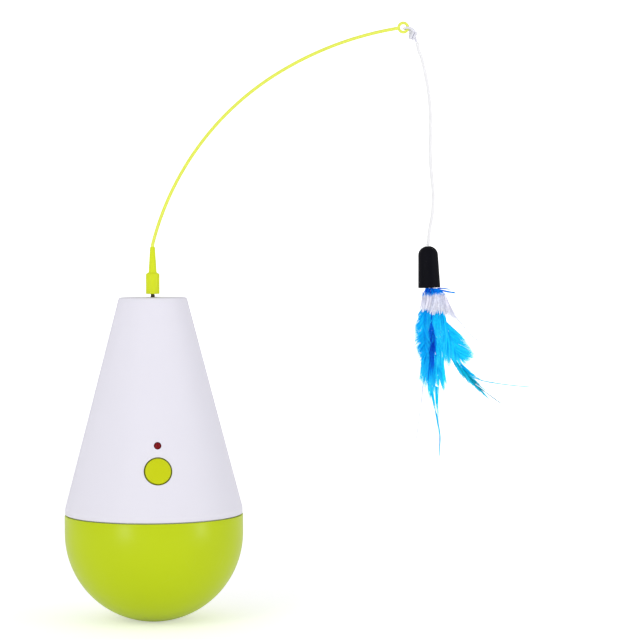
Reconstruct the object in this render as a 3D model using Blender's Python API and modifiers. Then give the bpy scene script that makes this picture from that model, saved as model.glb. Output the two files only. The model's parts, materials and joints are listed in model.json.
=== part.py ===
"""Battery cat toy: a tumbler body that turns a bent wand with a feather lure.

Metres, +Z up. The origin lies on the small flat under the dome, on the toy's upright axis.
The button faces -Y and the wand leans towards +X.

Moving groups, each under an empty on its axis:
  casing_axis  the casing and all it holds turn on the base to unlock the bayonet
  button_axis  the button and the switch plunger slide in along the wall's normal
  shaft_axis   the drive shaft and the output gear turn
  gear_axes    two compound gears and the motor's rotor, geared to the shaft
  wand_axis    the wand pulls off the shaft
  loop_axis, string_axis, lure_axis   the cord and the lure swing from the wand's eye
"""

import math

import bmesh
import bpy
from mathutils import Matrix, Vector

# Clearances
SEAT_GAP = 0.0003        # between pieces that rest on each other
FIT_GAP = 0.0001         # round a pin or a shaft in its bore
CUT_OVERRUN = 0.0010     # how far a cutter runs past the face that it opens
WELD = 0.00001           # distance at which vertices merge
SHARP_ANGLE = math.radians(35)

# Roundness, in sides
SHELL_SIDES = 32
ROUND_SIDES = 20
SMALL_SIDES = 12
SCREW_SIDES = 8
TINY_SIDES = 6
ARC_STEPS = 3

# Battery cells and their bay, which set the dome's width: three AA cells side by side
CELL_COUNT = 3
CELL_RADIUS = 0.00725
CELL_LENGTH = 0.0492
CELL_NUB_RADIUS = 0.00275
CELL_NUB = 0.0013
CELL_ROOM = 0.0016       # between neighbouring cells
SPRING_ROOM = 0.0053
CONTACT_THICKNESS = 0.0005
BAY_WALL = 0.0018
BAY_MARGIN = 0.00816     # from the bay's corner to the dome's outer face

CELL_PITCH = 2 * CELL_RADIUS + CELL_ROOM
BAY_HALF_LENGTH = (2 * (SEAT_GAP + CONTACT_THICKNESS) + SEAT_GAP + CELL_NUB + CELL_LENGTH
                   + SPRING_ROOM) / 2
BAY_HALF_WIDTH = (CELL_PITCH * (CELL_COUNT - 1) + 2 * CELL_RADIUS) / 2 + SEAT_GAP
CONTACT_X = BAY_HALF_LENGTH - SEAT_GAP - CONTACT_THICKNESS
DOME_RADIUS = math.hypot(BAY_HALF_LENGTH + BAY_WALL, BAY_HALF_WIDTH + BAY_WALL) + BAY_MARGIN

# Dome base
FOOT_RADIUS = 0.0070
BASE_WALL = 0.0020
BAND_HEIGHT = 0.0100
RIM_ROUND = 0.0004
SEAM_GAP = 0.0006
DOME_STEPS = 8
HOLLOW_STEPS = 6         # of the dome's inner face

DOME_CENTRE_Z = math.sqrt(DOME_RADIUS ** 2 - FOOT_RADIUS ** 2)
SEAM_Z = DOME_CENTRE_Z + BAND_HEIGHT
BASE_INNER_RADIUS = DOME_RADIUS - BASE_WALL
BASE_FLOOR_Z = DOME_CENTRE_Z - BASE_INNER_RADIUS

# Bayonet between base and casing
LUG_COUNT = 3
LUG_FIRST_ANGLE = math.radians(30)
LUG_WIDTH = 0.0080
LUG_HEIGHT = 0.0018
LUG_REACH = 0.0014
LUG_DROP = 0.0035        # from the seam down to the top of a lug
TWIST_ANGLE = math.radians(20)
SPIGOT_DEPTH = 0.0085
SPIGOT_WALL = 0.0018

SPIGOT_RADIUS = BASE_INNER_RADIUS - SEAT_GAP
SPIGOT_INNER_RADIUS = SPIGOT_RADIUS - SPIGOT_WALL
SPIGOT_LOW_Z = SEAM_Z - SPIGOT_DEPTH
LUG_HIGH_Z = SEAM_Z - LUG_DROP
LUG_LOW_Z = LUG_HIGH_Z - LUG_HEIGHT

# Ballast in the dome
BALLAST_HEIGHT = 0.0150
BALLAST_ROOM = 0.0006    # between the casting and the dome; it rests on the boss
BALLAST_EDGE = 0.0010
BALLAST_BOSS_RADIUS = 0.0035
BALLAST_BOSS_HEIGHT = 0.0070
BALLAST_STEPS = 5

BALLAST_RADIUS = BASE_INNER_RADIUS - BALLAST_ROOM
BALLAST_TOP_Z = BASE_FLOOR_Z + SEAT_GAP + BALLAST_HEIGHT
BALLAST_BOSS_Z = BASE_FLOOR_Z + BALLAST_BOSS_HEIGHT

# Cone casing
CASING_HEIGHT = 0.1166
CASING_WALL = 0.0020
SKIRT_INSET = 0.0003     # of the skirt behind the dome's rim
TOP_RADIUS = 0.0183
SKIRT_HEIGHT = 0.0034    # where the flank's line would meet the upright skirt
SKIRT_BLEND = 0.0030
TOP_BLEND = 0.0014

CASING_TOP_Z = SEAM_Z + CASING_HEIGHT
SKIRT_Z = SEAM_Z + SKIRT_HEIGHT
SKIRT_RADIUS = DOME_RADIUS - SKIRT_INSET
FLANK_ANGLE = math.atan((SKIRT_RADIUS - TOP_RADIUS) / (CASING_HEIGHT - SKIRT_HEIGHT))

# Drive shaft and its bearings
SHAFT_RADIUS = 0.0015
SHAFT_TIP_RADIUS = 0.0011
SHAFT_TIP_FLAT = 0.0007  # from the axis to the flat that turns the wand
SHAFT_SHOW = 0.0018      # bare length between the casing's top and the wand's sleeve
SHAFT_GRIP = 0.0100      # length inside the sleeve
BUSH_RADIUS = 0.0030
BUSH_LENGTH = 0.0080
BUSH_FLANGE_RADIUS = 0.0045
BUSH_FLANGE = 0.0012
BUSH_BOSS_RADIUS = 0.0055

# Front panel: button, LED, circuit board
BUTTON_RISE = 0.0268     # of the button's centre above the seam
LED_RISE = 0.0131        # of the lamp above the button
BUTTON_RADIUS = 0.0069
BUTTON_HOLE_RADIUS = 0.0072
BUTTON_PROUD = 0.0005
BUTTON_CROWN = 0.0004
BUTTON_ROUND = 0.0007
BUTTON_FLANGE_RADIUS = 0.0086
BUTTON_FLANGE = 0.0012
BUTTON_STEM_RADIUS = 0.0020
BUTTON_STEM = 0.0015
BUTTON_TRAVEL = 0.0008
COLLAR_WALL = 0.0018
COLLAR_DEPTH = 0.0040    # from the wall's outer face to the collar's end
COLLAR_ROOT = 0.0015     # depth at which the collar starts inside the wall
PLUNGER_RADIUS = 0.0016
PLUNGER_PROUD = 0.0013
PLUNGER_SUNK = 0.0017
SWITCH_SIZE = 0.0060
SWITCH_HEIGHT = 0.0035
LED_RADIUS = 0.0018
LED_HOLE_RADIUS = 0.0020
LED_PROUD = 0.0004
LED_BODY = 0.0050
LED_FLANGE_RADIUS = 0.0023
LED_FLANGE = 0.0010
LED_LEG_RADIUS = 0.00025
LED_LEG_SPACING = 0.0025
BOARD_WIDTH = 0.0300
BOARD_BELOW = 0.0090     # from the button's centre down to the board's edge
BOARD_ABOVE = 0.0185
BOARD_THICKNESS = 0.0016
BOARD_CORNER = 0.0015
BOARD_BOSS_RADIUS = 0.0026
BOARD_BOSS_X = 0.0115
BOARD_BOSS_Y = 0.0060
BOARD_BOSS_ROOT = 0.0026  # depth at which a boss starts inside the wall
CHIP_SIZE = (0.0070, 0.0050, 0.0014)
CHIP_Y = 0.0060

BUTTON_Z = SEAM_Z + BUTTON_RISE
LED_Z = BUTTON_Z + LED_RISE

# Chassis plate and the fittings of the battery bay
CHASSIS_THICKNESS = 0.0025
CHASSIS_TOP_RISE = 0.0005  # of the plate's top above the seam
BAY_RECESS = 0.0003
BAY_RIB = 0.0010
BAY_RIB_INSET = 0.0090   # from an end wall of the bay to the rib's end
SPRING_WIRE_RADIUS = 0.00035
SPRING_BASE_RADIUS = 0.0042
SPRING_TIP_RADIUS = 0.0026
SPRING_TURNS = 2.5
SPRING_TURN_POINTS = 6
CONTACT_WIDTH = 0.0110
CONTACT_HEIGHT = 0.0100

CHASSIS_RADIUS = SPIGOT_INNER_RADIUS - SEAT_GAP
CHASSIS_TOP_Z = SEAM_Z + CHASSIS_TOP_RISE
CHASSIS_LOW_Z = CHASSIS_TOP_Z - CHASSIS_THICKNESS
CHASSIS_MIDDLE_Z = CHASSIS_LOW_Z + CHASSIS_THICKNESS / 2
CELL_Z = CHASSIS_LOW_Z - SEAT_GAP - CELL_RADIUS
BAY_LOW_Z = CELL_Z - CELL_RADIUS / 2

# Gear train, one stage after another from the shaft to the motor
GEAR_MODULE = 0.0005
WHEEL_TEETH = 42
PINION_TEETH = 10
PRESSURE_ANGLE = math.radians(25)
ADDENDUM_SHARE = 0.8     # of the module
DEDENDUM_SHARE = 1.0     # of the module
TOOTH_PLAY = 0.00005     # taken off each tooth's thickness
WHEEL_WIDTH = 0.0025
OUTPUT_WIDTH = 0.0035
LEVEL_GAP = 0.0006
HUB_WALL = 0.0006
WEB_HOLE_COUNT = 3
WEB_HOLE_PLACE = 0.0060
WEB_HOLE_RADIUS = 0.0018
AXLE_RADIUS = 0.0010
AXLE_SEAT = 0.0018       # length of an axle inside each plate
SHAFT_BOSS_RADIUS = 0.0035
SHAFT_BOSS_HEIGHT = 0.0015
AXLE_BOSS_RADIUS = 0.0022
GEARBOX_THICKNESS = 0.0020
GEARBOX_MARGIN = 0.0035
GEARBOX_CORNER = 0.0025
POST_RADIUS = 0.0025
POST_LEFT = 0.0140       # from the motor's axis
POST_RIGHT = 0.0130      # from the shaft's axis
POST_FRONT = 0.0130      # from the shaft's axis
POST_BACK = 0.0080       # from the second gear's axis

STAGE_DISTANCE = GEAR_MODULE * (WHEEL_TEETH + PINION_TEETH) / 2
GEAR_2_ANGLE = math.radians(90)
GEAR_1_ANGLE = math.radians(180)
MOTOR_ANGLE = math.radians(270)
SHAFT_BOSS_Z = CHASSIS_TOP_Z + SHAFT_BOSS_HEIGHT
LEVEL_1_Z = SHAFT_BOSS_Z + SEAT_GAP
LEVEL_2_Z = LEVEL_1_Z + OUTPUT_WIDTH + LEVEL_GAP
LEVEL_3_Z = LEVEL_2_Z + WHEEL_WIDTH + LEVEL_GAP
GEARBOX_LOW_Z = LEVEL_3_Z + WHEEL_WIDTH + 2 * LEVEL_GAP
GEARBOX_TOP_Z = GEARBOX_LOW_Z + GEARBOX_THICKNESS

# Motor
MOTOR_RADIUS = 0.0100
MOTOR_HALF_FLAT = 0.0075
MOTOR_CAN_LENGTH = 0.0220
MOTOR_CAP_LENGTH = 0.0030
MOTOR_EDGE = 0.0010
MOTOR_BOSS_RADIUS = 0.0030
MOTOR_BOSS = 0.0015
MOTOR_BORE = 0.0060      # length of the shaft inside the can
TERMINAL_SIZE = (0.0020, 0.0005, 0.0030)
TERMINAL_SPACING = 0.0080
CRADLE_WALL = 0.0016
CRADLE_HEIGHT = 0.0140
CRADLE_WIDTH = 0.0120

MOTOR_LOW_Z = GEARBOX_TOP_Z + SEAT_GAP
MOTOR_CAP_Z = MOTOR_LOW_Z + MOTOR_CAN_LENGTH + SEAT_GAP

# Screws: head radius, head height, shank radius, shank length
BALLAST_SCREW = (0.0032, 0.0020, 0.0015, 0.0100)
CHASSIS_SCREW = (0.0024, 0.0016, 0.0012, 0.0085)
GEARBOX_SCREW = (0.0020, 0.0013, 0.0010, 0.0060)
BOARD_SCREW = (0.0019, 0.0012, 0.0009, 0.0050)
CHASSIS_SCREW_ANGLES = (math.radians(90), math.radians(232), math.radians(308))
CHASSIS_SCREW_INSET = 0.0036  # from the plate's edge to a screw's axis
CHASSIS_BOSS_RADIUS = 0.0028
CHASSIS_BOSS_HEIGHT = 0.0080
CHASSIS_BOSS_RIB = 0.0016

CHASSIS_SCREW_RADIUS = CHASSIS_RADIUS - CHASSIS_SCREW_INSET

# Insulated leads. Each rises from its start, bows out by its share and ends square on the board.
LEAD_RADIUS = 0.0006
LEAD_HOLE_RADIUS = 0.0012
LEAD_STEP = 0.0045
LEAD_STRAIGHT = 0.0040   # length of a lead that stands square to the board
BATTERY_LEAD_Y = 0.0180
BATTERY_LEAD_RISE = 0.0110
BATTERY_RED_SPOT = (0.0090, -0.0060)
BATTERY_RED_BOW_SHARE = 1.7
BATTERY_BLACK_SPOT = (-0.0090, -0.0060)
BATTERY_BLACK_BOW_SHARE = 1.25
MOTOR_LEAD_RISE = 0.0026
MOTOR_LEAD_BOW_SHARE = 1.0
MOTOR_RED_SPOT = (-0.0070, 0.0120)
MOTOR_RED_ARCH = 0.0060
MOTOR_BLACK_SPOT = (-0.0120, 0.0130)
MOTOR_BLACK_ARCH = 0.0080

# Wand
SLEEVE_RADIUS = 0.00370
SLEEVE_LENGTH = 0.0108
SLEEVE_ROUND = 0.0007
SHOULDER_LENGTH = 0.0008
NECK_RADIUS = 0.00220
NECK_TIP_RADIUS = 0.00135
NECK_LENGTH = 0.0136
ROD_RADIUS = 0.00096
ROD_GRIP = 0.0080
ROD_LEAN = math.radians(14.65)
ROD_MIDDLE_LEAN = math.radians(57.9)
ROD_END_LEAN = math.radians(80.6)
ROD_NECK_RADIUS = 0.0080  # of the short bend where the rod leaves the sleeve
ROD_BEND_RADIUS = 0.1523  # from the sleeve to where the rod leans by its middle angle
ROD_TIP_BEND_RADIUS = 0.1831
ROD_STEPS = 11
ROD_TIP_STEPS = 5
EYE_RADIUS = 0.0025
EYE_WIRE_RADIUS = 0.0008
EYE_SIDES = 14
EYE_ANGLE = math.radians(7)  # from the rod's end to the eye's centre

SLEEVE_LOW_Z = CASING_TOP_Z + SHAFT_SHOW
NECK_LOW_Z = SLEEVE_LOW_Z + SLEEVE_LENGTH + SHOULDER_LENGTH
NECK_TOP_Z = NECK_LOW_Z + NECK_LENGTH

# Cord and lure. The route's points are (x, z) from its own top, in the plane y = 0.
CORD_RADIUS = 0.00075
LOOP_CORD_RADIUS = 0.00055
LOOP_HALF_WIDTH = 0.0015
LOOP_LENGTH = 0.0050     # from the eye's wire to the knot's middle
LOOP_POINTS = 9
LOOP_ANGLE = math.radians(-43)
KNOT_RADIUS = 0.0019
KNOT_HALF_LENGTH = 0.0030
KNOT_ANGLE = math.radians(-58)
KNOB_RADIUS = 0.0009     # of the small knots at both ends of the cord
TAIL_LENGTH = 0.0018
TAIL_ANGLE = math.radians(58)
CORD_ROUTE = (
    (0.0000, 0.0000),
    (0.0004, -0.0035),
    (0.0020, -0.0083),
    (0.0039, -0.0176),
    (0.0056, -0.0283),
    (0.0062, -0.0391),
    (0.0062, -0.0492),
    (0.0061, -0.0592),
    (0.0064, -0.0668),
    (0.0072, -0.0746),
    (0.0079, -0.0823),
    (0.0075, -0.0923),
    (0.0064, -0.1000),
    (0.0055, -0.1097),
)
CORD_STEP = 0.0042       # between the points of its tube
CAP_LENGTH = 0.0228
CAP_TOP_RADIUS = 0.0054
CAP_RADIUS = 0.00605
CAP_WALL = 0.0012
CAP_DOME = 0.0050
CAP_EDGE = 0.0005
CAP_DIMPLE_RADIUS = 0.0014
CAP_DIMPLE_DEPTH = 0.0012
CAP_PLUG_DEPTH = 0.0080
CAP_PLUG_SUNK = 0.0020
CAP_LEAN = math.radians(-2)
QUILL_RADIUS = 0.00035
QUILL_BORE_RADIUS = 0.0006
QUILL_BORE_DEPTH = 0.0050
QUILL_ROW_X = 0.0012
FEATHER_LAYER = 0.0009   # between neighbouring feathers at the plug
FEATHER_SPREAD_LENGTH = 0.0300  # distance below the mouth at which the layers are twice as far apart
FEATHER_THICKNESS = 0.0004
# Half widths along a vane, from the bare quill to the tip
VANE_SHARES = (0.10, 0.80, 1.00, 0.90, 0.60, 0.30, 0.05)

# Feathers, from the front one back: end point and middle bend from the cap's mouth (x, z)
FEATHER_TIPS = (
    (0.0150, -0.0030),
    (0.0380, -0.0367),
    (-0.0020, -0.0420),
    (0.0060, -0.0500),
    (0.0256, -0.0378),
    (0.0061, -0.0923),
    (0.0412, -0.0643),
    (0.0596, -0.0551),
    (-0.0068, -0.0982),
)
FEATHER_BENDS = (
    (0.0020, -0.0065),
    (0.0170, -0.0080),
    (-0.0080, -0.0200),
    (-0.0010, -0.0220),
    (0.0140, -0.0140),
    (-0.0060, -0.0420),
    (0.0100, -0.0300),
    (0.0180, -0.0420),
    (-0.0010, -0.0480),
)
FEATHER_HALF_WIDTHS = (0.0035, 0.0050, 0.0060, 0.0055, 0.0065, 0.0050, 0.0055, 0.0025, 0.0020)
BARE_QUILL_SHARES = (0.15, 0.10, 0.10, 0.10, 0.10, 0.20, 0.25, 0.30, 0.30)
FEATHER_COLOURS = ("feather_navy", "feather_white", "feather_blue", "feather_navy", "feather_cyan",
                   "feather_blue", "feather_teal", "feather_cyan", "feather_white")

# Colours: red, green, blue, roughness, metallic
FINISHES = {
    "lime_gloss": (0.50, 0.63, 0.012, 0.22, 0.0),
    "lime_button": (0.61, 0.68, 0.03, 0.30, 0.0),
    "lime_soft": (0.66, 0.79, 0.04, 0.45, 0.0),
    "casing_white": (0.80, 0.79, 0.88, 0.30, 0.0),
    "led_red": (0.35, 0.01, 0.02, 0.15, 0.0),
    "inner_plastic": (0.55, 0.55, 0.56, 0.50, 0.0),
    "gear_plastic": (0.85, 0.85, 0.80, 0.40, 0.0),
    "black_plastic": (0.02, 0.02, 0.02, 0.45, 0.0),
    "black_rubber": (0.010, 0.010, 0.014, 0.60, 0.0),
    "steel": (0.55, 0.55, 0.56, 0.30, 1.0),
    "brass": (0.70, 0.50, 0.20, 0.30, 1.0),
    "iron": (0.15, 0.15, 0.16, 0.60, 1.0),
    "board_green": (0.02, 0.20, 0.07, 0.40, 0.0),
    "cell_label": (0.05, 0.10, 0.30, 0.35, 0.0),
    "lead_red": (0.55, 0.01, 0.01, 0.45, 0.0),
    "lead_black": (0.02, 0.02, 0.02, 0.45, 0.0),
    "cord_white": (0.85, 0.86, 0.88, 0.80, 0.0),
    "feather_white": (0.80, 0.88, 0.92, 0.80, 0.0),
    "feather_blue": (0.00, 0.35, 0.80, 0.75, 0.0),
    "feather_navy": (0.00, 0.08, 0.62, 0.75, 0.0),
    "feather_cyan": (0.01, 0.58, 0.90, 0.75, 0.0),
    "feather_teal": (0.00, 0.22, 0.45, 0.75, 0.0),
}


# Scene, collections, materials

def clear_scene():
    """Remove whatever the scene holds."""
    for obj in list(bpy.data.objects):
        bpy.data.objects.remove(obj, do_unlink=True)


def new_collection(name):
    """A collection linked to the scene."""
    made = bpy.data.collections.new(name)
    bpy.context.scene.collection.children.link(made)
    return made


clear_scene()
PARTS = new_collection("cat_feather_toy")
CUTTERS = new_collection("cutters")


def finish(name):
    """The named material, made at its first use."""
    if name in bpy.data.materials:
        return bpy.data.materials[name]
    red, green, blue, roughness, metallic = FINISHES[name]
    made = bpy.data.materials.new(name)
    made.use_nodes = True
    shader = made.node_tree.nodes["Principled BSDF"]
    shader.inputs["Base Color"].default_value = (red, green, blue, 1.0)
    shader.inputs["Roughness"].default_value = roughness
    shader.inputs["Metallic"].default_value = metallic
    made.diffuse_color = (red, green, blue, 1.0)
    return made


# Building blocks

def new_object(name, mesh, colour=None):
    """A part's object with its material, or a cutter when no colour is given."""
    obj = bpy.data.objects.new(name, mesh)
    if colour is None:
        CUTTERS.objects.link(obj)
        obj.display_type = "WIRE"
        obj.hide_render = True
    else:
        PARTS.objects.link(obj)
        obj.data.materials.append(finish(colour))
    return obj


def mesh_object(name, bm, colour=None):
    """The object of a finished bmesh, shaded smooth but at its sharp edges."""
    mesh = bpy.data.meshes.new(name)
    bm.to_mesh(mesh)
    bm.free()
    mesh.shade_smooth()
    mesh.set_sharp_from_angle(angle=SHARP_ANGLE)
    return new_object(name, mesh, colour)


def add_cylinder(bm, radius, low, high, at=(0.0, 0.0), sides=SMALL_SIDES, turn=Matrix(), far=None):
    """Add a closed cylinder along Z, or a cone where the radius at its high end differs."""
    made = bmesh.ops.create_cone(
        bm, cap_ends=True, segments=sides, radius1=radius,
        radius2=radius if far is None else far, depth=high - low)
    middle = Matrix.Translation((at[0], at[1], (low + high) / 2))
    bmesh.ops.transform(bm, matrix=turn @ middle, verts=made["verts"])


def add_box(bm, low, high, turn=Matrix()):
    """Add a closed box between two corners."""
    made = bmesh.ops.create_cube(bm, size=1)
    low, high = Vector(low), Vector(high)
    size = Matrix.Diagonal((high - low).to_4d())
    size[3][3] = 1.0
    bmesh.ops.transform(bm, matrix=turn @ Matrix.Translation((low + high) / 2) @ size,
                        verts=made["verts"])


def turned(name, profile, colour=None, sides=ROUND_SIDES):
    """A turned piece. The closed (radius, z) profile runs down the outer side and up the bore."""
    bm = bmesh.new()
    points = [bm.verts.new((radius, 0.0, z)) for radius, z in profile]
    for upper, lower in zip(points, points[1:] + points[:1]):
        if upper.co.x > 0.0 or lower.co.x > 0.0:
            bm.edges.new((upper, lower))
    obj = mesh_object(name, bm, colour)
    spin = obj.modifiers.new("turn", "SCREW")
    spin.axis = "Z"
    spin.steps = sides
    spin.render_steps = sides
    spin.use_merge_vertices = True
    spin.merge_threshold = WELD
    spin.use_smooth_shade = True
    return obj


def rounded(corners, steps=ARC_STEPS):
    """The outline through (x, y, cut) corners, each rounded back by its cut along both sides."""
    points = []
    count = len(corners)
    for index, (x, y, cut) in enumerate(corners):
        here = Vector((x, y))
        if cut == 0.0:
            points.append((x, y))
            continue
        before = Vector(corners[index - 1][:2])
        after = Vector(corners[(index + 1) % count][:2])
        start = here + (before - here).normalized() * cut
        end = here + (after - here).normalized() * cut
        for step in range(steps + 1):
            share = step / steps
            spot = start.lerp(here, share).lerp(here.lerp(end, share), share)
            points.append((spot.x, spot.y))
    return points


def arc(centre, radius, start, end, steps):
    """Points of an arc about a centre, with angles from +X."""
    return [(centre[0] + radius * math.cos(start + (end - start) * step / steps),
             centre[1] + radius * math.sin(start + (end - start) * step / steps))
            for step in range(steps + 1)]


def circle(x, y, radius, sides=SMALL_SIDES):
    """Points of a closed circle."""
    return arc((x, y), radius, 0.0, math.tau * (sides - 1) / sides, sides - 1)


def curve_to_mesh(name, curve, colour=None, place=Matrix()):
    """The welded mesh object of a curve, with its place applied."""
    guide = bpy.data.objects.new(name + "_curve", curve)
    CUTTERS.objects.link(guide)
    bpy.context.view_layer.update()
    evaluated = guide.evaluated_get(bpy.context.evaluated_depsgraph_get())
    mesh = bpy.data.meshes.new_from_object(evaluated)
    bpy.data.objects.remove(guide)
    bm = bmesh.new()
    bm.from_mesh(mesh)
    bmesh.ops.remove_doubles(bm, verts=bm.verts, dist=WELD)
    bmesh.ops.recalc_face_normals(bm, faces=bm.faces)
    bmesh.ops.transform(bm, matrix=place, verts=bm.verts)
    bpy.data.meshes.remove(mesh)
    return mesh_object(name, bm, colour)


def flat_solid(name, outlines, low, high, colour=None, place=Matrix()):
    """A plate from low to high: the first outline is its edge and the others are its holes."""
    curve = bpy.data.curves.new(name, "CURVE")
    curve.dimensions = "2D"
    curve.fill_mode = "BOTH"
    curve.extrude = (high - low) / 2
    for outline in outlines:
        spline = curve.splines.new("POLY")
        spline.points.add(len(outline) - 1)
        for point, (x, y) in zip(spline.points, outline):
            point.co = (x, y, 0.0, 1.0)
        spline.use_cyclic_u = True
    middle = Matrix.Translation((0.0, 0.0, (low + high) / 2))
    return curve_to_mesh(name, curve, colour, place @ middle)


def tube(name, points, radius, colour=None, resolution=2, closed=False):
    """A round wire through points, with filled ends, or one that closes on itself."""
    curve = bpy.data.curves.new(name, "CURVE")
    curve.dimensions = "3D"
    curve.bevel_depth = radius
    curve.bevel_resolution = resolution
    curve.use_fill_caps = not closed
    curve.render_resolution_u = 0
    spline = curve.splines.new("POLY")
    spline.points.add(len(points) - 1)
    for point, spot in zip(spline.points, points):
        point.co = (*spot, 1.0)
    spline.use_cyclic_u = closed
    return curve_to_mesh(name, curve, colour)


def combine(obj, tool, operation):
    """Join a tool to a part, or cut it away."""
    change = obj.modifiers.new(tool.name, "BOOLEAN")
    change.operation = operation
    change.object = tool
    change.solver = "EXACT"


def smooth_route(corners, step):
    """Evenly spread points on the smooth curve through a route's own points."""
    dense = []
    padded = [corners[0], *corners, corners[-1]]
    for before, start, end, after in zip(padded, padded[1:], padded[2:], padded[3:]):
        for part in range(ROUND_SIDES):
            t = part / ROUND_SIDES
            dense.append((
                2 * start + (end - before) * t
                + (2 * before - 5 * start + 4 * end - after) * t ** 2
                + (3 * start - before - 3 * end + after) * t ** 3) / 2)
    dense.append(corners[-1])
    reach = [0.0]
    for near, far in zip(dense, dense[1:]):
        reach.append(reach[-1] + (far - near).length)
    count = max(2, round(reach[-1] / step))
    points = []
    index = 0
    for number in range(count + 1):
        wanted = reach[-1] * number / count
        while index < len(dense) - 2 and reach[index + 1] < wanted:
            index += 1
        span = reach[index + 1] - reach[index]
        share = (wanted - reach[index]) / span if span else 0.0
        points.append(dense[index].lerp(dense[index + 1], min(share, 1.0)))
    return points


def put_origin(obj, spot):
    """Move an object's origin to a place in the world, with its shape where it was."""
    obj.data.transform(Matrix.Translation(-Vector(spot)))
    obj.location = spot


def joint_empty(name, spot, parent=None):
    """An empty on a joint's axis."""
    empty = bpy.data.objects.new(name, None)
    empty.empty_display_size = SLEEVE_LENGTH
    PARTS.objects.link(empty)
    empty.location = spot
    carry(empty, parent)
    return empty


def carry(obj, parent):
    """Parent an object to the empty of its joint and keep it in its place."""
    bpy.context.view_layer.update()
    if parent is not None:
        obj.parent = parent
        obj.matrix_parent_inverse = parent.matrix_world.inverted()


# Places that several pieces share

def flank_radius(z):
    """Outer radius of the cone at a height."""
    return SKIRT_RADIUS - (z - SKIRT_Z) * math.tan(FLANK_ANGLE)


def inner_flank_radius(z):
    """Inner radius of the cone at a height."""
    return flank_radius(z) - CASING_WALL / math.cos(FLANK_ANGLE)


def spin_about_z(angle):
    """A turn about the upright axis."""
    return Matrix.Rotation(angle, 4, "Z")


def angles_of(count, first):
    """Evenly spread angles."""
    return [first + math.tau * number / count for number in range(count)]


def beside(place, angle):
    """The next gear's axis, one stage distance away at an angle."""
    return (place[0] + STAGE_DISTANCE * math.cos(angle), place[1] + STAGE_DISTANCE * math.sin(angle))


SHAFT_AXIS = (0.0, 0.0)
GEAR_2_AXIS = beside(SHAFT_AXIS, GEAR_2_ANGLE)
GEAR_1_AXIS = beside(GEAR_2_AXIS, GEAR_1_ANGLE)
MOTOR_AXIS = beside(GEAR_1_AXIS, MOTOR_ANGLE)
POSTS = tuple((x, y) for x in (MOTOR_AXIS[0] - POST_LEFT, POST_RIGHT)
              for y in (-POST_FRONT, GEAR_2_AXIS[1] + POST_BACK))
AXLE_1_BOSS_Z = LEVEL_2_Z - LEVEL_GAP / 2 - SEAT_GAP
AXLE_2_BOSS_Z = SHAFT_BOSS_Z

# The front panel's own frame: x to the right, y up along the wall, z out through the wall
PANEL = (Matrix.Translation((0.0, -flank_radius(BUTTON_Z), BUTTON_Z))
         @ Matrix.Rotation(math.radians(90) - FLANK_ANGLE, 4, "X"))
LED_UP = (LED_Z - BUTTON_Z) / math.cos(FLANK_ANGLE)
FLANGE_DEPTH = COLLAR_DEPTH + SEAT_GAP
STEM_DEPTH = FLANGE_DEPTH + BUTTON_FLANGE + BUTTON_STEM
PLUNGER_DEPTH = STEM_DEPTH + SEAT_GAP
SWITCH_DEPTH = PLUNGER_DEPTH + PLUNGER_PROUD
BOARD_DEPTH = SWITCH_DEPTH + SWITCH_HEIGHT + SEAT_GAP
BOARD_BACK = BOARD_DEPTH + BOARD_THICKNESS
BOARD_BOSSES = ((-BOARD_BOSS_X, BOARD_BOSS_Y), (BOARD_BOSS_X, BOARD_BOSS_Y))

BATTERY_LEAD_HOLES = tuple((side * (CONTACT_X - LEAD_RADIUS / 2), side * BATTERY_LEAD_Y)
                           for side in (1, -1))


# Base

def build_base_shell():
    """The lime dome with its foot, its screw boss and the lugs of the bayonet."""
    rim_z = SEAM_Z - SEAM_GAP / 2
    foot_angle = -math.acos(FOOT_RADIUS / DOME_RADIUS)
    centre = (0.0, DOME_CENTRE_Z)
    profile = [(DOME_RADIUS - RIM_ROUND, rim_z), (DOME_RADIUS, rim_z - RIM_ROUND)]
    profile += arc(centre, DOME_RADIUS, 0.0, foot_angle, DOME_STEPS)
    profile += [(0.0, profile[-1][1]), (0.0, BASE_FLOOR_Z)]
    profile += arc(centre, BASE_INNER_RADIUS, -math.pi / 2, 0.0, HOLLOW_STEPS)[1:]
    profile += [(BASE_INNER_RADIUS, rim_z)]
    shell = turned("base_shell", profile, "lime_gloss", SHELL_SIDES)
    boss = bmesh.new()
    add_cylinder(boss, BALLAST_BOSS_RADIUS, BASE_FLOOR_Z - BASE_WALL / 2, BALLAST_BOSS_Z)
    combine(shell, mesh_object("ballast_boss", boss), "UNION")
    pilot = bmesh.new()
    add_cylinder(pilot, BALLAST_SCREW[2] + FIT_GAP, BASE_FLOOR_Z, BALLAST_BOSS_Z + CUT_OVERRUN)
    combine(shell, mesh_object("ballast_pilot", pilot), "DIFFERENCE")
    lugs = bmesh.new()
    for angle in angles_of(LUG_COUNT, LUG_FIRST_ANGLE):
        add_box(lugs, (BASE_INNER_RADIUS - LUG_REACH, -LUG_WIDTH / 2, LUG_LOW_Z),
                (BASE_INNER_RADIUS + BASE_WALL / 2, LUG_WIDTH / 2, LUG_HIGH_Z), spin_about_z(angle))
    combine(shell, mesh_object("bayonet_lugs", lugs), "UNION")
    return shell


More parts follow.
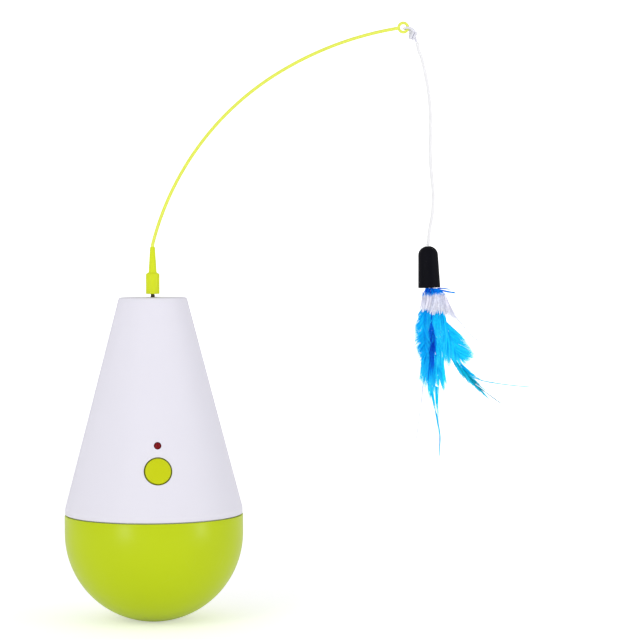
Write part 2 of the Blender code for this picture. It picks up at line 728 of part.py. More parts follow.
def build_ballast():
    """The iron weight that fills the bottom of the dome."""
    drop = DOME_CENTRE_Z - BALLAST_TOP_Z
    top_radius = math.sqrt(BALLAST_RADIUS ** 2 - drop ** 2)
    edge_angle = -math.asin((drop + BALLAST_EDGE) / BALLAST_RADIUS)
    well = BALLAST_BOSS_RADIUS + SEAT_GAP
    head = BALLAST_SCREW[0] + SEAT_GAP
    shank = BALLAST_SCREW[2] + FIT_GAP
    seat_z = BALLAST_TOP_Z - BALLAST_SCREW[1]
    profile = [(head, BALLAST_TOP_Z), (top_radius - BALLAST_EDGE, BALLAST_TOP_Z)]
    profile += arc((0.0, DOME_CENTRE_Z), BALLAST_RADIUS, edge_angle,
                   -math.acos(well / BALLAST_RADIUS), BALLAST_STEPS)
    profile += [(well, BALLAST_BOSS_Z + SEAT_GAP), (shank, BALLAST_BOSS_Z + SEAT_GAP),
                (shank, seat_z), (head, seat_z)]
    return turned("ballast", profile, "iron", ROUND_SIDES)


def build_screw(name, sizes, place):
    """A pan-head screw. Its head's underside sits at its origin and its shank points down -Z."""
    head, height, shank, length = sizes
    profile = [(0.0, height), (head, height / 2), (head, SEAT_GAP), (shank, SEAT_GAP),
               (shank, -length), (0.0, -length)]
    screw = turned(name, profile, "steel", SCREW_SIDES)
    screw.matrix_world = place
    return screw


# Casing

def bayonet_slot(name, angle):
    """Cutter for one L-shaped slot: in from the spigot's edge, then round to the locked end."""
    half_angle = math.atan(LUG_WIDTH / 2 / (BASE_INNER_RADIUS - LUG_REACH))
    far = -SPIGOT_RADIUS * math.sin(TWIST_ANGLE + half_angle) - SEAT_GAP
    entry = -SPIGOT_INNER_RADIUS * math.sin(TWIST_ANGLE - half_angle) + SEAT_GAP
    near = LUG_WIDTH / 2 + SEAT_GAP
    low = LUG_LOW_Z - SEAT_GAP
    high = LUG_HIGH_Z + SEAT_GAP
    mouth = SPIGOT_LOW_Z - CUT_OVERRUN
    outline = [(far, mouth), (entry, mouth), (entry, low), (near, low), (near, high), (far, high)]
    inside = SPIGOT_INNER_RADIUS * math.cos(TWIST_ANGLE + half_angle) - CUT_OVERRUN
    upright = Matrix(((0, 0, 1, 0), (1, 0, 0, 0), (0, 1, 0, 0), (0, 0, 0, 1)))
    return flat_solid(name, [outline], inside, SPIGOT_RADIUS + CUT_OVERRUN,
                      place=spin_about_z(angle) @ upright)


def build_upper_casing():
    """The white cone with its spigot, screw bosses, button collar and board bosses."""
    face_z = SEAM_Z + SEAM_GAP / 2
    ceiling_z = CASING_TOP_Z - CASING_WALL
    bush_low_z = CASING_TOP_Z - BUSH_LENGTH
    bush_hole = BUSH_RADIUS + SEAT_GAP
    ledge_z = SKIRT_Z + SPIGOT_WALL
    shell = turned("upper_casing", rounded([
        (bush_hole, CASING_TOP_Z, 0.0),
        (flank_radius(CASING_TOP_Z), CASING_TOP_Z, TOP_BLEND),
        (SKIRT_RADIUS, SKIRT_Z, SKIRT_BLEND),
        (SKIRT_RADIUS, face_z, 0.0),
        (SPIGOT_RADIUS, face_z, 0.0),
        (SPIGOT_RADIUS, SPIGOT_LOW_Z, 0.0),
        (SPIGOT_INNER_RADIUS, SPIGOT_LOW_Z, 0.0),
        (SPIGOT_INNER_RADIUS, SKIRT_Z, 0.0),
        (inner_flank_radius(ledge_z), ledge_z, 0.0),
        (inner_flank_radius(ceiling_z), ceiling_z, 0.0),
        (BUSH_BOSS_RADIUS, ceiling_z, 0.0),
        (BUSH_BOSS_RADIUS, bush_low_z, 0.0),
        (bush_hole, bush_low_z, 0.0),
    ], 2), "casing_white", SHELL_SIDES)

    bosses = bmesh.new()
    ribs = bmesh.new()
    holes = bmesh.new()
    boss_low = CHASSIS_TOP_Z + SEAT_GAP
    boss_high = boss_low + CHASSIS_BOSS_HEIGHT
    rib_reach = flank_radius(boss_high) - CASING_WALL / 2
    for angle in CHASSIS_SCREW_ANGLES:
        turn = spin_about_z(angle)
        at = (CHASSIS_SCREW_RADIUS, 0.0)
        add_cylinder(bosses, CHASSIS_BOSS_RADIUS, boss_low, boss_high, at, SCREW_SIDES, turn)
        add_box(ribs, (CHASSIS_SCREW_RADIUS + CHASSIS_BOSS_RIB, -CHASSIS_BOSS_RIB / 2, boss_low + SEAT_GAP),
                (rib_reach, CHASSIS_BOSS_RIB / 2, boss_high - CHASSIS_BOSS_RIB), turn)
        add_cylinder(holes, CHASSIS_SCREW[2] + FIT_GAP, boss_low - CUT_OVERRUN,
                     boss_high - CHASSIS_BOSS_RIB, at, SCREW_SIDES, turn)
    add_cylinder(bosses, BUTTON_HOLE_RADIUS + COLLAR_WALL, -COLLAR_DEPTH, -COLLAR_ROOT,
                 sides=ROUND_SIDES, turn=PANEL)
    add_cylinder(holes, BUTTON_HOLE_RADIUS, -COLLAR_DEPTH - CUT_OVERRUN, CUT_OVERRUN,
                 sides=ROUND_SIDES, turn=PANEL)
    add_cylinder(holes, LED_HOLE_RADIUS, -COLLAR_DEPTH, CUT_OVERRUN, (0.0, LED_UP), SMALL_SIDES, PANEL)
    boss_end = BOARD_DEPTH - SEAT_GAP
    for spot in BOARD_BOSSES:
        add_cylinder(bosses, BOARD_BOSS_RADIUS, -boss_end, -BOARD_BOSS_ROOT, spot, SCREW_SIDES, PANEL)
        add_cylinder(holes, BOARD_SCREW[2] + FIT_GAP, -boss_end - CUT_OVERRUN,
                     -BOARD_BACK + BOARD_SCREW[3] + CUT_OVERRUN, spot, SCREW_SIDES, PANEL)
    combine(shell, mesh_object("casing_bosses", bosses), "UNION")
    combine(shell, mesh_object("casing_ribs", ribs), "UNION")
    combine(shell, mesh_object("casing_holes", holes), "DIFFERENCE")
    for number, angle in enumerate(angles_of(LUG_COUNT, LUG_FIRST_ANGLE), 1):
        combine(shell, bayonet_slot(f"bayonet_slot_{number}", angle), "DIFFERENCE")
    return shell


def build_top_bush():
    """The brass bush that guides the shaft through the casing's top."""
    bore = SHAFT_RADIUS + FIT_GAP
    shoulder_z = CASING_TOP_Z - BUSH_LENGTH - SEAT_GAP
    profile = [(bore, CASING_TOP_Z - SEAT_GAP), (BUSH_RADIUS, CASING_TOP_Z - SEAT_GAP),
               (BUSH_RADIUS, shoulder_z), (BUSH_FLANGE_RADIUS, shoulder_z),
               (BUSH_FLANGE_RADIUS, shoulder_z - BUSH_FLANGE), (bore, shoulder_z - BUSH_FLANGE)]
    return turned("top_bush", profile, "brass", SMALL_SIDES)


# Front panel

def on_panel(obj, x=0.0, y=0.0):
    """Set a piece made about its own Z axis on the front panel."""
    obj.matrix_world = PANEL @ Matrix.Translation((x, y, 0.0))
    return obj


def build_power_button():
    """The round button with its retaining flange and its stem."""
    top = BUTTON_PROUD + BUTTON_CROWN
    profile = [(0.0, top)]
    profile += rounded([(BUTTON_RADIUS / 2, top - BUTTON_CROWN / 4, 0.0),
                        (BUTTON_RADIUS, BUTTON_PROUD, BUTTON_ROUND),
                        (BUTTON_RADIUS, -FLANGE_DEPTH, 0.0)], 2)
    profile += [(BUTTON_FLANGE_RADIUS, -FLANGE_DEPTH),
                (BUTTON_FLANGE_RADIUS, -FLANGE_DEPTH - BUTTON_FLANGE),
                (BUTTON_STEM_RADIUS, -FLANGE_DEPTH - BUTTON_FLANGE),
                (BUTTON_STEM_RADIUS, -STEM_DEPTH), (0.0, -STEM_DEPTH)]
    return on_panel(turned("power_button", profile, "lime_button"))


def build_switch():
    """The tact switch on the board: its housing, and the plunger that the stem pushes."""
    bm = bmesh.new()
    half = SWITCH_SIZE / 2
    add_box(bm, (-half, -half, -SWITCH_DEPTH - SWITCH_HEIGHT), (half, half, -SWITCH_DEPTH))
    housing = on_panel(mesh_object("switch_housing", bm, "black_plastic"))
    bore = bmesh.new()
    add_cylinder(bore, PLUNGER_RADIUS + FIT_GAP,
                 -SWITCH_DEPTH - PLUNGER_SUNK - BUTTON_TRAVEL - SEAT_GAP,
                 -SWITCH_DEPTH + CUT_OVERRUN, turn=PANEL)
    combine(housing, mesh_object("switch_bore", bore), "DIFFERENCE")
    bm = bmesh.new()
    add_cylinder(bm, PLUNGER_RADIUS, -SWITCH_DEPTH - PLUNGER_SUNK, -PLUNGER_DEPTH)
    return housing, on_panel(mesh_object("switch_plunger", bm, "black_plastic"))


def build_led():
    """The red LED with its flange and its two legs, which pass through the board."""
    dome = arc((0.0, LED_PROUD - LED_RADIUS), LED_RADIUS, math.radians(90), 0.0, ARC_STEPS)
    profile = [(0.0, LED_PROUD)] + dome[1:]
    profile += [(LED_RADIUS, -LED_BODY), (LED_FLANGE_RADIUS, -LED_BODY),
                (LED_FLANGE_RADIUS, -LED_BODY - LED_FLANGE), (0.0, -LED_BODY - LED_FLANGE)]
    led = on_panel(turned("led", profile, "led_red", SMALL_SIDES), 0.0, LED_UP)
    legs = bmesh.new()
    for side in (-1, 1):
        add_cylinder(legs, LED_LEG_RADIUS, -BOARD_BACK - BOARD_THICKNESS / 2, -LED_BODY - LED_FLANGE / 2,
                     (side * LED_LEG_SPACING / 2, LED_UP), TINY_SIDES, PANEL)
    combine(led, mesh_object("led_legs", legs), "UNION")
    return led


def build_pcb():
    """The circuit board with its control chip."""
    half = BOARD_WIDTH / 2
    edge = rounded([(-half, -BOARD_BELOW, BOARD_CORNER), (half, -BOARD_BELOW, BOARD_CORNER),
                    (half, BOARD_ABOVE, BOARD_CORNER), (-half, BOARD_ABOVE, BOARD_CORNER)], 2)
    holes = [circle(x, y, BOARD_SCREW[2] + FIT_GAP, SCREW_SIDES) for x, y in BOARD_BOSSES]
    holes += [circle(side * LED_LEG_SPACING / 2, LED_UP, LED_LEG_RADIUS + SEAT_GAP, TINY_SIDES)
              for side in (-1, 1)]
    board = flat_solid("pcb", [edge] + holes, -BOARD_BACK, -BOARD_DEPTH, "board_green", PANEL)
    chip = bmesh.new()
    width, height, rise = CHIP_SIZE
    add_box(chip, (-width / 2, CHIP_Y - height / 2, -BOARD_BACK - rise),
            (width / 2, CHIP_Y + height / 2, -BOARD_DEPTH - BOARD_THICKNESS / 2), PANEL)
    combine(board, mesh_object("control_chip", chip), "UNION")
    return board


# Chassis and power

def build_chassis_plate():
    """The plate that closes the casing, with the battery bay below and the gearbox posts above."""
    plate = turned("chassis_plate", [
        (0.0, CHASSIS_TOP_Z), (CHASSIS_RADIUS, CHASSIS_TOP_Z),
        (CHASSIS_RADIUS, CHASSIS_LOW_Z), (0.0, CHASSIS_LOW_Z)], "inner_plastic", SHELL_SIDES)
    outer_x = BAY_HALF_LENGTH + BAY_WALL
    outer_y = BAY_HALF_WIDTH + BAY_WALL
    block = bmesh.new()
    add_box(block, (-outer_x, -outer_y, BAY_LOW_Z), (outer_x, outer_y, CHASSIS_MIDDLE_Z))
    combine(plate, mesh_object("bay_block", block), "UNION")
    room = bmesh.new()
    add_box(room, (-BAY_HALF_LENGTH, -BAY_HALF_WIDTH, BAY_LOW_Z - CUT_OVERRUN),
            (BAY_HALF_LENGTH, BAY_HALF_WIDTH, CHASSIS_LOW_Z + BAY_RECESS))
    combine(plate, mesh_object("bay_room", room), "DIFFERENCE")

    added = bmesh.new()
    for number in range(CELL_COUNT - 1):
        y = CELL_PITCH * (number + 1 - CELL_COUNT / 2)
        add_box(added, (BAY_RIB_INSET - BAY_HALF_LENGTH, y - BAY_RIB / 2, CELL_Z),
                (BAY_HALF_LENGTH - BAY_RIB_INSET, y + BAY_RIB / 2, CHASSIS_MIDDLE_Z))
    for x, y in POSTS:
        add_cylinder(added, POST_RADIUS, CHASSIS_MIDDLE_Z, GEARBOX_LOW_Z - SEAT_GAP, (x, y), SCREW_SIDES)
    add_cylinder(added, SHAFT_BOSS_RADIUS, CHASSIS_MIDDLE_Z, SHAFT_BOSS_Z, SHAFT_AXIS)
    add_cylinder(added, AXLE_BOSS_RADIUS, CHASSIS_MIDDLE_Z, AXLE_1_BOSS_Z, GEAR_1_AXIS)
    add_cylinder(added, AXLE_BOSS_RADIUS, CHASSIS_MIDDLE_Z, AXLE_2_BOSS_Z, GEAR_2_AXIS)
    combine(plate, mesh_object("plate_ribs_and_posts", added), "UNION")

    holes = bmesh.new()
    post_top = GEARBOX_LOW_Z - SEAT_GAP
    for x, y in POSTS:
        add_cylinder(holes, GEARBOX_SCREW[2] + FIT_GAP, post_top - GEARBOX_SCREW[3],
                     post_top + CUT_OVERRUN, (x, y), SCREW_SIDES)
    add_cylinder(holes, SHAFT_RADIUS + FIT_GAP, CHASSIS_MIDDLE_Z, SHAFT_BOSS_Z + CUT_OVERRUN, SHAFT_AXIS)
    for axis, top in ((GEAR_1_AXIS, AXLE_1_BOSS_Z), (GEAR_2_AXIS, AXLE_2_BOSS_Z)):
        add_cylinder(holes, AXLE_RADIUS + FIT_GAP, top - AXLE_SEAT - SEAT_GAP, top + CUT_OVERRUN, axis)
    for angle in CHASSIS_SCREW_ANGLES:
        add_cylinder(holes, CHASSIS_SCREW[2] + SEAT_GAP, CHASSIS_LOW_Z - CUT_OVERRUN,
                     CHASSIS_TOP_Z + CUT_OVERRUN, (CHASSIS_SCREW_RADIUS, 0.0), SCREW_SIDES,
                     spin_about_z(angle))
    for x, y in BATTERY_LEAD_HOLES:
        add_cylinder(holes, LEAD_HOLE_RADIUS, CHASSIS_LOW_Z - CUT_OVERRUN, CHASSIS_TOP_Z + CUT_OVERRUN,
                     (x, y), TINY_SIDES)
    combine(plate, mesh_object("plate_holes", holes), "DIFFERENCE")
    return plate


def cell_side(number):
    """+1 where a cell's positive end points to +X, -1 where it points to -X."""
    return 1 if number % 2 == 0 else -1


def cell_y(number):
    """Place of a cell across the bay."""
    return CELL_PITCH * (number - (CELL_COUNT - 1) / 2)


def build_battery_cell(number):
    """A cell, turned about its length, with its positive nub towards its own side."""
    side = cell_side(number)
    tip = CONTACT_X - SEAT_GAP
    shoulder = tip - CELL_NUB
    end = shoulder - CELL_LENGTH
    profile = [(0.0, tip), (CELL_NUB_RADIUS, tip), (CELL_NUB_RADIUS, shoulder),
               (CELL_RADIUS, shoulder), (CELL_RADIUS, end), (0.0, end)]
    cell = turned(f"battery_cell_{number + 1}", profile, "cell_label", SMALL_SIDES)
    cell.matrix_world = (Matrix.Translation((0.0, cell_y(number), CELL_Z))
                         @ Matrix.Rotation(side * math.radians(90), 4, "Y"))
    return cell


def build_battery_spring(number):
    """The conical coil behind a cell's flat end."""
    side = -cell_side(number)
    outer = CONTACT_X - SEAT_GAP - SPRING_WIRE_RADIUS
    inner = CONTACT_X - SPRING_ROOM + SEAT_GAP + SPRING_WIRE_RADIUS
    count = round(SPRING_TURNS * SPRING_TURN_POINTS)
    points = []
    for step in range(count + 1):
        share = step / count
        radius = SPRING_BASE_RADIUS + (SPRING_TIP_RADIUS - SPRING_BASE_RADIUS) * share
        angle = math.tau * SPRING_TURNS * share
        points.append((side * (outer + (inner - outer) * share),
                       cell_y(number) + radius * math.cos(angle), CELL_Z + radius * math.sin(angle)))
    return tube(f"battery_spring_{number + 1}", points, SPRING_WIRE_RADIUS, "steel", 1)


def build_contact_plate(name, side, cells):
    """A stamped contact against one end wall of the bay, across the cells that it serves."""
    ys = [cell_y(number) for number in cells]
    bm = bmesh.new()
    near, far = sorted((side * CONTACT_X, side * (CONTACT_X + CONTACT_THICKNESS)))
    add_box(bm, (near, min(ys) - CONTACT_WIDTH / 2, CELL_Z - CONTACT_HEIGHT / 2),
            (far, max(ys) + CONTACT_WIDTH / 2, CELL_Z + CONTACT_HEIGHT / 2))
    return mesh_object(name, bm, "steel")


# Gear train

def involute(angle):
    """The involute function."""
    return math.tan(angle) - angle


def gear_outline(teeth, phase, flank_steps):
    """Outline of a spur gear with one tooth centred on the phase angle."""
    pitch_radius = GEAR_MODULE * teeth / 2
    base_radius = pitch_radius * math.cos(PRESSURE_ANGLE)
    tip = pitch_radius + ADDENDUM_SHARE * GEAR_MODULE
    root = pitch_radius - DEDENDUM_SHARE * GEAR_MODULE
    half_at_pitch = (math.pi * GEAR_MODULE / 2 - TOOTH_PLAY) / 2 / pitch_radius
    flank = []
    for step in range(flank_steps + 1):
        radius = root + (tip - root) * step / flank_steps
        slope = math.acos(min(1.0, base_radius / radius))
        flank.append((radius, half_at_pitch + involute(PRESSURE_ANGLE) - involute(slope)))
    points = []
    for tooth in range(teeth):
        middle = phase + math.tau * tooth / teeth
        for radius, half in flank:
            points.append((radius * math.cos(middle - half), radius * math.sin(middle - half)))
        for radius, half in reversed(flank):
            points.append((radius * math.cos(middle + half), radius * math.sin(middle + half)))
    return points


def meshed_phase(driver_teeth, driver_phase, angle, teeth):
    """Phase of a gear whose gap meets the driver's tooth, seen at an angle from the driver."""
    return angle + math.pi - (math.pi - driver_teeth * (angle - driver_phase)) / teeth


def wheel_openings():
    """The round openings that lighten a wheel's web."""
    return [circle(WEB_HOLE_PLACE * math.cos(angle), WEB_HOLE_PLACE * math.sin(angle),
                   WEB_HOLE_RADIUS, TINY_SIDES) for angle in angles_of(WEB_HOLE_COUNT, 0.0)]


def bore_gear(gear, radius, low, high):
    """Cut the bore through a gear about its own axis."""
    bore = bmesh.new()
    add_cylinder(bore, radius, low - CUT_OVERRUN, high + CUT_OVERRUN)
    tool = mesh_object(gear.name + "_bore", bore)
    combine(gear, tool, "DIFFERENCE")
    return tool


def build_compound_gear(name, axis, wheel_low, pinion_low, pinion_phase):
    """A wheel with a pinion below it and a hub above it, turning on a fixed axle."""
    wheel_high = wheel_low + WHEEL_WIDTH
    hub_high = GEARBOX_LOW_Z - SEAT_GAP
    gear = flat_solid(name, [gear_outline(WHEEL_TEETH, 0.0, 1)] + wheel_openings(),
                      wheel_low, wheel_high, "gear_plastic")
    pinion = flat_solid(name + "_pinion", [gear_outline(PINION_TEETH, pinion_phase, 2)],
                        pinion_low, wheel_low + WHEEL_WIDTH / 2)
    hub = bmesh.new()
    add_cylinder(hub, AXLE_RADIUS + FIT_GAP + HUB_WALL, wheel_low + WHEEL_WIDTH / 2, hub_high)
    hub = mesh_object(name + "_hub", hub)
    combine(gear, pinion, "UNION")
    combine(gear, hub, "UNION")
    bore = bore_gear(gear, AXLE_RADIUS + FIT_GAP, pinion_low, hub_high)
    for piece in (gear, pinion, hub, bore):
        piece.location = (*axis, 0.0)
    return gear


def build_output_gear():
    """The wheel that is pressed on the drive shaft."""
    outlines = [gear_outline(WHEEL_TEETH, 0.0, 1), circle(*SHAFT_AXIS, SHAFT_RADIUS + FIT_GAP)]
    return flat_solid("output_gear", outlines + wheel_openings(), LEVEL_1_Z, LEVEL_1_Z + OUTPUT_WIDTH,
                      "gear_plastic")


def build_motor_pinion(phase):
    """The brass pinion on the motor's shaft."""
    outlines = [gear_outline(PINION_TEETH, phase, 2), circle(0.0, 0.0, AXLE_RADIUS + FIT_GAP)]
    pinion = flat_solid("motor_pinion", outlines, LEVEL_3_Z - LEVEL_GAP / 2,
                        LEVEL_3_Z + WHEEL_WIDTH + LEVEL_GAP / 2, "brass")
    pinion.location = (*MOTOR_AXIS, 0.0)
    return pinion


def build_pin(name, axis, low, high, radius=AXLE_RADIUS):
    """A plain steel pin along Z, with its origin on its own axis."""
    bm = bmesh.new()
    add_cylinder(bm, radius, low, high, sides=SCREW_SIDES)
    pin = mesh_object(name, bm, "steel")
    pin.location = (*axis, 0.0)
    return pin


def build_gearbox_plate():
    """The plate over the gears, with the bearings, the motor's opening and the motor's cradle."""
    left, front = POSTS[0]
    right, back = POSTS[-1]
    edge = rounded([(left - GEARBOX_MARGIN, front - GEARBOX_MARGIN, GEARBOX_CORNER),
                    (right + GEARBOX_MARGIN, front - GEARBOX_MARGIN, GEARBOX_CORNER),
                    (right + GEARBOX_MARGIN, back + GEARBOX_MARGIN, GEARBOX_CORNER),
                    (left - GEARBOX_MARGIN, back + GEARBOX_MARGIN, GEARBOX_CORNER)], 2)
    holes = [circle(x, y, GEARBOX_SCREW[2] + SEAT_GAP, SCREW_SIDES) for x, y in POSTS]
    holes += [circle(*SHAFT_AXIS, SHAFT_RADIUS + FIT_GAP),
              circle(*GEAR_1_AXIS, AXLE_RADIUS + FIT_GAP),
              circle(*GEAR_2_AXIS, AXLE_RADIUS + FIT_GAP),
              circle(*MOTOR_AXIS, MOTOR_BOSS_RADIUS + SEAT_GAP)]
    plate = flat_solid("gearbox_plate", [edge] + holes, GEARBOX_LOW_Z, GEARBOX_TOP_Z, "inner_plastic")
    cradle = bmesh.new()
    for side in (-1, 1):
        near = MOTOR_AXIS[0] + side * (MOTOR_HALF_FLAT + SEAT_GAP)
        low_x, high_x = sorted((near, near + side * CRADLE_WALL))
        add_box(cradle, (low_x, MOTOR_AXIS[1] - CRADLE_WIDTH / 2, GEARBOX_TOP_Z - GEARBOX_THICKNESS / 2),
                (high_x, MOTOR_AXIS[1] + CRADLE_WIDTH / 2, GEARBOX_TOP_Z + CRADLE_HEIGHT))
    combine(plate, mesh_object("motor_cradle", cradle), "UNION")
    return plate


def motor_outline(inset=0.0):
    """The flat-sided round outline of a small motor, about its own axis."""
    radius = MOTOR_RADIUS - inset
    half_flat = MOTOR_HALF_FLAT - inset
    corner = math.acos(half_flat / radius)
    return (arc((0.0, 0.0), radius, corner, math.pi - corner, 2 * ARC_STEPS)
            + arc((0.0, 0.0), radius, math.pi + corner, math.tau - corner, 2 * ARC_STEPS))


def build_motor_can():
    """The steel can with its front boss, open for the shaft."""
    can = flat_solid("motor_can", [motor_outline()], MOTOR_LOW_Z, MOTOR_LOW_Z + MOTOR_CAN_LENGTH, "steel")
    edge = can.modifiers.new("edge", "BEVEL")
    edge.width = MOTOR_EDGE
    edge.segments = 1
    edge.limit_method = "ANGLE"
    edge.angle_limit = math.radians(60)
    boss = bmesh.new()
    add_cylinder(boss, MOTOR_BOSS_RADIUS, MOTOR_LOW_Z - MOTOR_BOSS, MOTOR_LOW_Z + MOTOR_EDGE)
    boss = mesh_object("motor_boss", boss)
    bore = bmesh.new()
    add_cylinder(bore, AXLE_RADIUS + FIT_GAP, MOTOR_LOW_Z - MOTOR_BOSS - CUT_OVERRUN,
                 MOTOR_LOW_Z + MOTOR_BORE)
    bore = mesh_object("motor_bore", bore)
    combine(can, boss, "UNION")
    combine(can, bore, "DIFFERENCE")
    for piece in (can, boss, bore):
        piece.location = (*MOTOR_AXIS, 0.0)
    return can


def build_motor_end_cap():
    """The plastic end cap with its two terminals."""
    cap = flat_solid("motor_end_cap", [motor_outline(MOTOR_EDGE)], MOTOR_CAP_Z,
                     MOTOR_CAP_Z + MOTOR_CAP_LENGTH, "black_plastic")
    width, thickness, rise = TERMINAL_SIZE
    terminals = bmesh.new()
    for side in (-1, 1):
        y = side * TERMINAL_SPACING / 2
        add_box(terminals, (-width / 2, y - thickness / 2, MOTOR_CAP_Z + MOTOR_CAP_LENGTH / 2),
                (width / 2, y + thickness / 2, MOTOR_CAP_Z + MOTOR_CAP_LENGTH + rise))
    terminals = mesh_object("motor_terminals", terminals)
    combine(cap, terminals, "UNION")
    for piece in (cap, terminals):
        piece.location = (*MOTOR_AXIS, 0.0)
    return cap


def build_drive_shaft():
    """The long shaft from the chassis to the wand, with a flat on its thinner tip."""
    low = CHASSIS_MIDDLE_Z + SEAT_GAP
    step_z = CASING_TOP_Z - SEAT_GAP
    top = SLEEVE_LOW_Z + SHAFT_GRIP
    shaft = turned("drive_shaft", [
        (0.0, top), (SHAFT_TIP_RADIUS - FIT_GAP, top), (SHAFT_TIP_RADIUS, top - FIT_GAP),
        (SHAFT_TIP_RADIUS, step_z), (SHAFT_RADIUS, step_z), (SHAFT_RADIUS, low), (0.0, low)],
        "steel", SMALL_SIDES)
    flat = bmesh.new()
    add_box(flat, (SHAFT_TIP_FLAT, -SHAFT_RADIUS, SLEEVE_LOW_Z - SEAT_GAP),
            (SHAFT_RADIUS + CUT_OVERRUN, SHAFT_RADIUS, top + CUT_OVERRUN))
    combine(shaft, mesh_object("shaft_flat", flat), "DIFFERENCE")
    return shaft


# Leads

def panel_point(x, y, depth):
    """World place of a point behind the front panel."""
    return PANEL @ Vector((x, y, -depth))


def build_lead(name, colour, start, rise, bow_share, arch, board_spot):
    """An insulated lead from its start, over its bow, to the back of the circuit board."""
    start = Vector(start)
    risen = start + Vector((0.0, 0.0, rise))
    approach = panel_point(*board_spot, BOARD_BACK + LEAD_STRAIGHT)
    middle = (risen + approach) / 2
    middle = Vector((middle.x * bow_share, middle.y * bow_share, middle.z + arch))
    stops = [start, start.lerp(risen, 1 / 2), risen, middle, approach,
             panel_point(*board_spot, BOARD_BACK + SEAT_GAP)]
    return tube(name, smooth_route(stops, LEAD_STEP), LEAD_RADIUS, colour)


def build_leads():
    """Two leads up from the battery contacts and two across from the motor's terminals."""
    contact_top = CELL_Z + CONTACT_HEIGHT / 2 + SEAT_GAP
    (plus_x, plus_y), (minus_x, minus_y) = BATTERY_LEAD_HOLES
    terminal_top = MOTOR_CAP_Z + MOTOR_CAP_LENGTH + TERMINAL_SIZE[2] + SEAT_GAP
    front = (MOTOR_AXIS[0], MOTOR_AXIS[1] - TERMINAL_SPACING / 2, terminal_top)
    rear = (MOTOR_AXIS[0], MOTOR_AXIS[1] + TERMINAL_SPACING / 2, terminal_top)
    return [
        build_lead("battery_lead_red", "lead_red", (plus_x, plus_y, contact_top),
                   BATTERY_LEAD_RISE, BATTERY_RED_BOW_SHARE, 0.0, BATTERY_RED_SPOT),
        build_lead("battery_lead_black", "lead_black", (minus_x, minus_y, contact_top),
                   BATTERY_LEAD_RISE, BATTERY_BLACK_BOW_SHARE, 0.0, BATTERY_BLACK_SPOT),
        build_lead("motor_lead_red", "lead_red", front,
                   MOTOR_LEAD_RISE, MOTOR_LEAD_BOW_SHARE, MOTOR_RED_ARCH, MOTOR_RED_SPOT),
        build_lead("motor_lead_black", "lead_black", rear,
                   MOTOR_LEAD_RISE, MOTOR_LEAD_BOW_SHARE, MOTOR_BLACK_ARCH, MOTOR_BLACK_SPOT),
    ]


# Wand

def build_wand_connector():
    """The soft sleeve that pushes on the shaft's tip and grips the rod."""
    sleeve_top = SLEEVE_LOW_Z + SLEEVE_LENGTH
    connector = turned("wand_connector", [(0.0, NECK_TOP_Z)] + rounded([
        (NECK_TIP_RADIUS, NECK_TOP_Z, 0.0),
        (NECK_RADIUS, NECK_LOW_Z, 0.0),
        (SLEEVE_RADIUS, sleeve_top, SLEEVE_ROUND),
        (SLEEVE_RADIUS, SLEEVE_LOW_Z, 0.0),
        (0.0, SLEEVE_LOW_Z, 0.0)], 2), "lime_soft", SMALL_SIDES)
    radius = SHAFT_TIP_RADIUS + FIT_GAP
    corner = math.acos((SHAFT_TIP_FLAT + FIT_GAP) / radius)
    socket = flat_solid("wand_socket", [arc(SHAFT_AXIS, radius, corner, math.tau - corner, SMALL_SIDES)],
                        SLEEVE_LOW_Z - CUT_OVERRUN, SLEEVE_LOW_Z + SHAFT_GRIP + SEAT_GAP)
    bore = bmesh.new()
    add_cylinder(bore, ROD_RADIUS + FIT_GAP, NECK_TOP_Z - ROD_GRIP - SEAT_GAP, NECK_TOP_Z + CUT_OVERRUN)
    combine(connector, socket, "DIFFERENCE")
    combine(connector, mesh_object("rod_bore", bore), "DIFFERENCE")
    return connector


def lean_arc(start, radius, first, last, steps):
    """Points of a bend in the plane y = 0 that leans from one angle off upright to another."""
    centre = (start[0] + radius * math.cos(first), start[1] - radius * math.sin(first))
    return [(centre[0] - radius * math.cos(lean), centre[1] + radius * math.sin(lean))
            for lean in (first + (last - first) * step / steps for step in range(1, steps + 1))]


def rod_route():
    """Centre line (x, z) of the rod, from the sleeve to the eye."""
    points = [(0.0, NECK_TOP_Z - ROD_GRIP), (0.0, NECK_TOP_Z)]
    points += lean_arc(points[-1], ROD_NECK_RADIUS, 0.0, ROD_LEAN, ARC_STEPS)
    points += lean_arc(points[-1], ROD_BEND_RADIUS, ROD_LEAN, ROD_MIDDLE_LEAN, ROD_STEPS)
    points += lean_arc(points[-1], ROD_TIP_BEND_RADIUS, ROD_MIDDLE_LEAN, ROD_END_LEAN, ROD_TIP_STEPS)
    return points


ROD_ROUTE = rod_route()
EYE_CENTRE = Vector((ROD_ROUTE[-1][0] + EYE_RADIUS * math.cos(EYE_ANGLE), 0.0,
                     ROD_ROUTE[-1][1] + EYE_RADIUS * math.sin(EYE_ANGLE)))


def build_wand_rod():
    """The bent rod with the eye moulded on its end."""
    rod = tube("wand_rod", [(x, 0.0, z) for x, z in ROD_ROUTE], ROD_RADIUS, "lime_soft")
    eye = tube("wand_eye", [(EYE_CENTRE.x + x, 0.0, EYE_CENTRE.z + z)
                            for x, z in circle(0.0, 0.0, EYE_RADIUS, EYE_SIDES)],
               EYE_WIRE_RADIUS, resolution=1, closed=True)
    combine(rod, eye, "UNION")
    return rod


# Cord

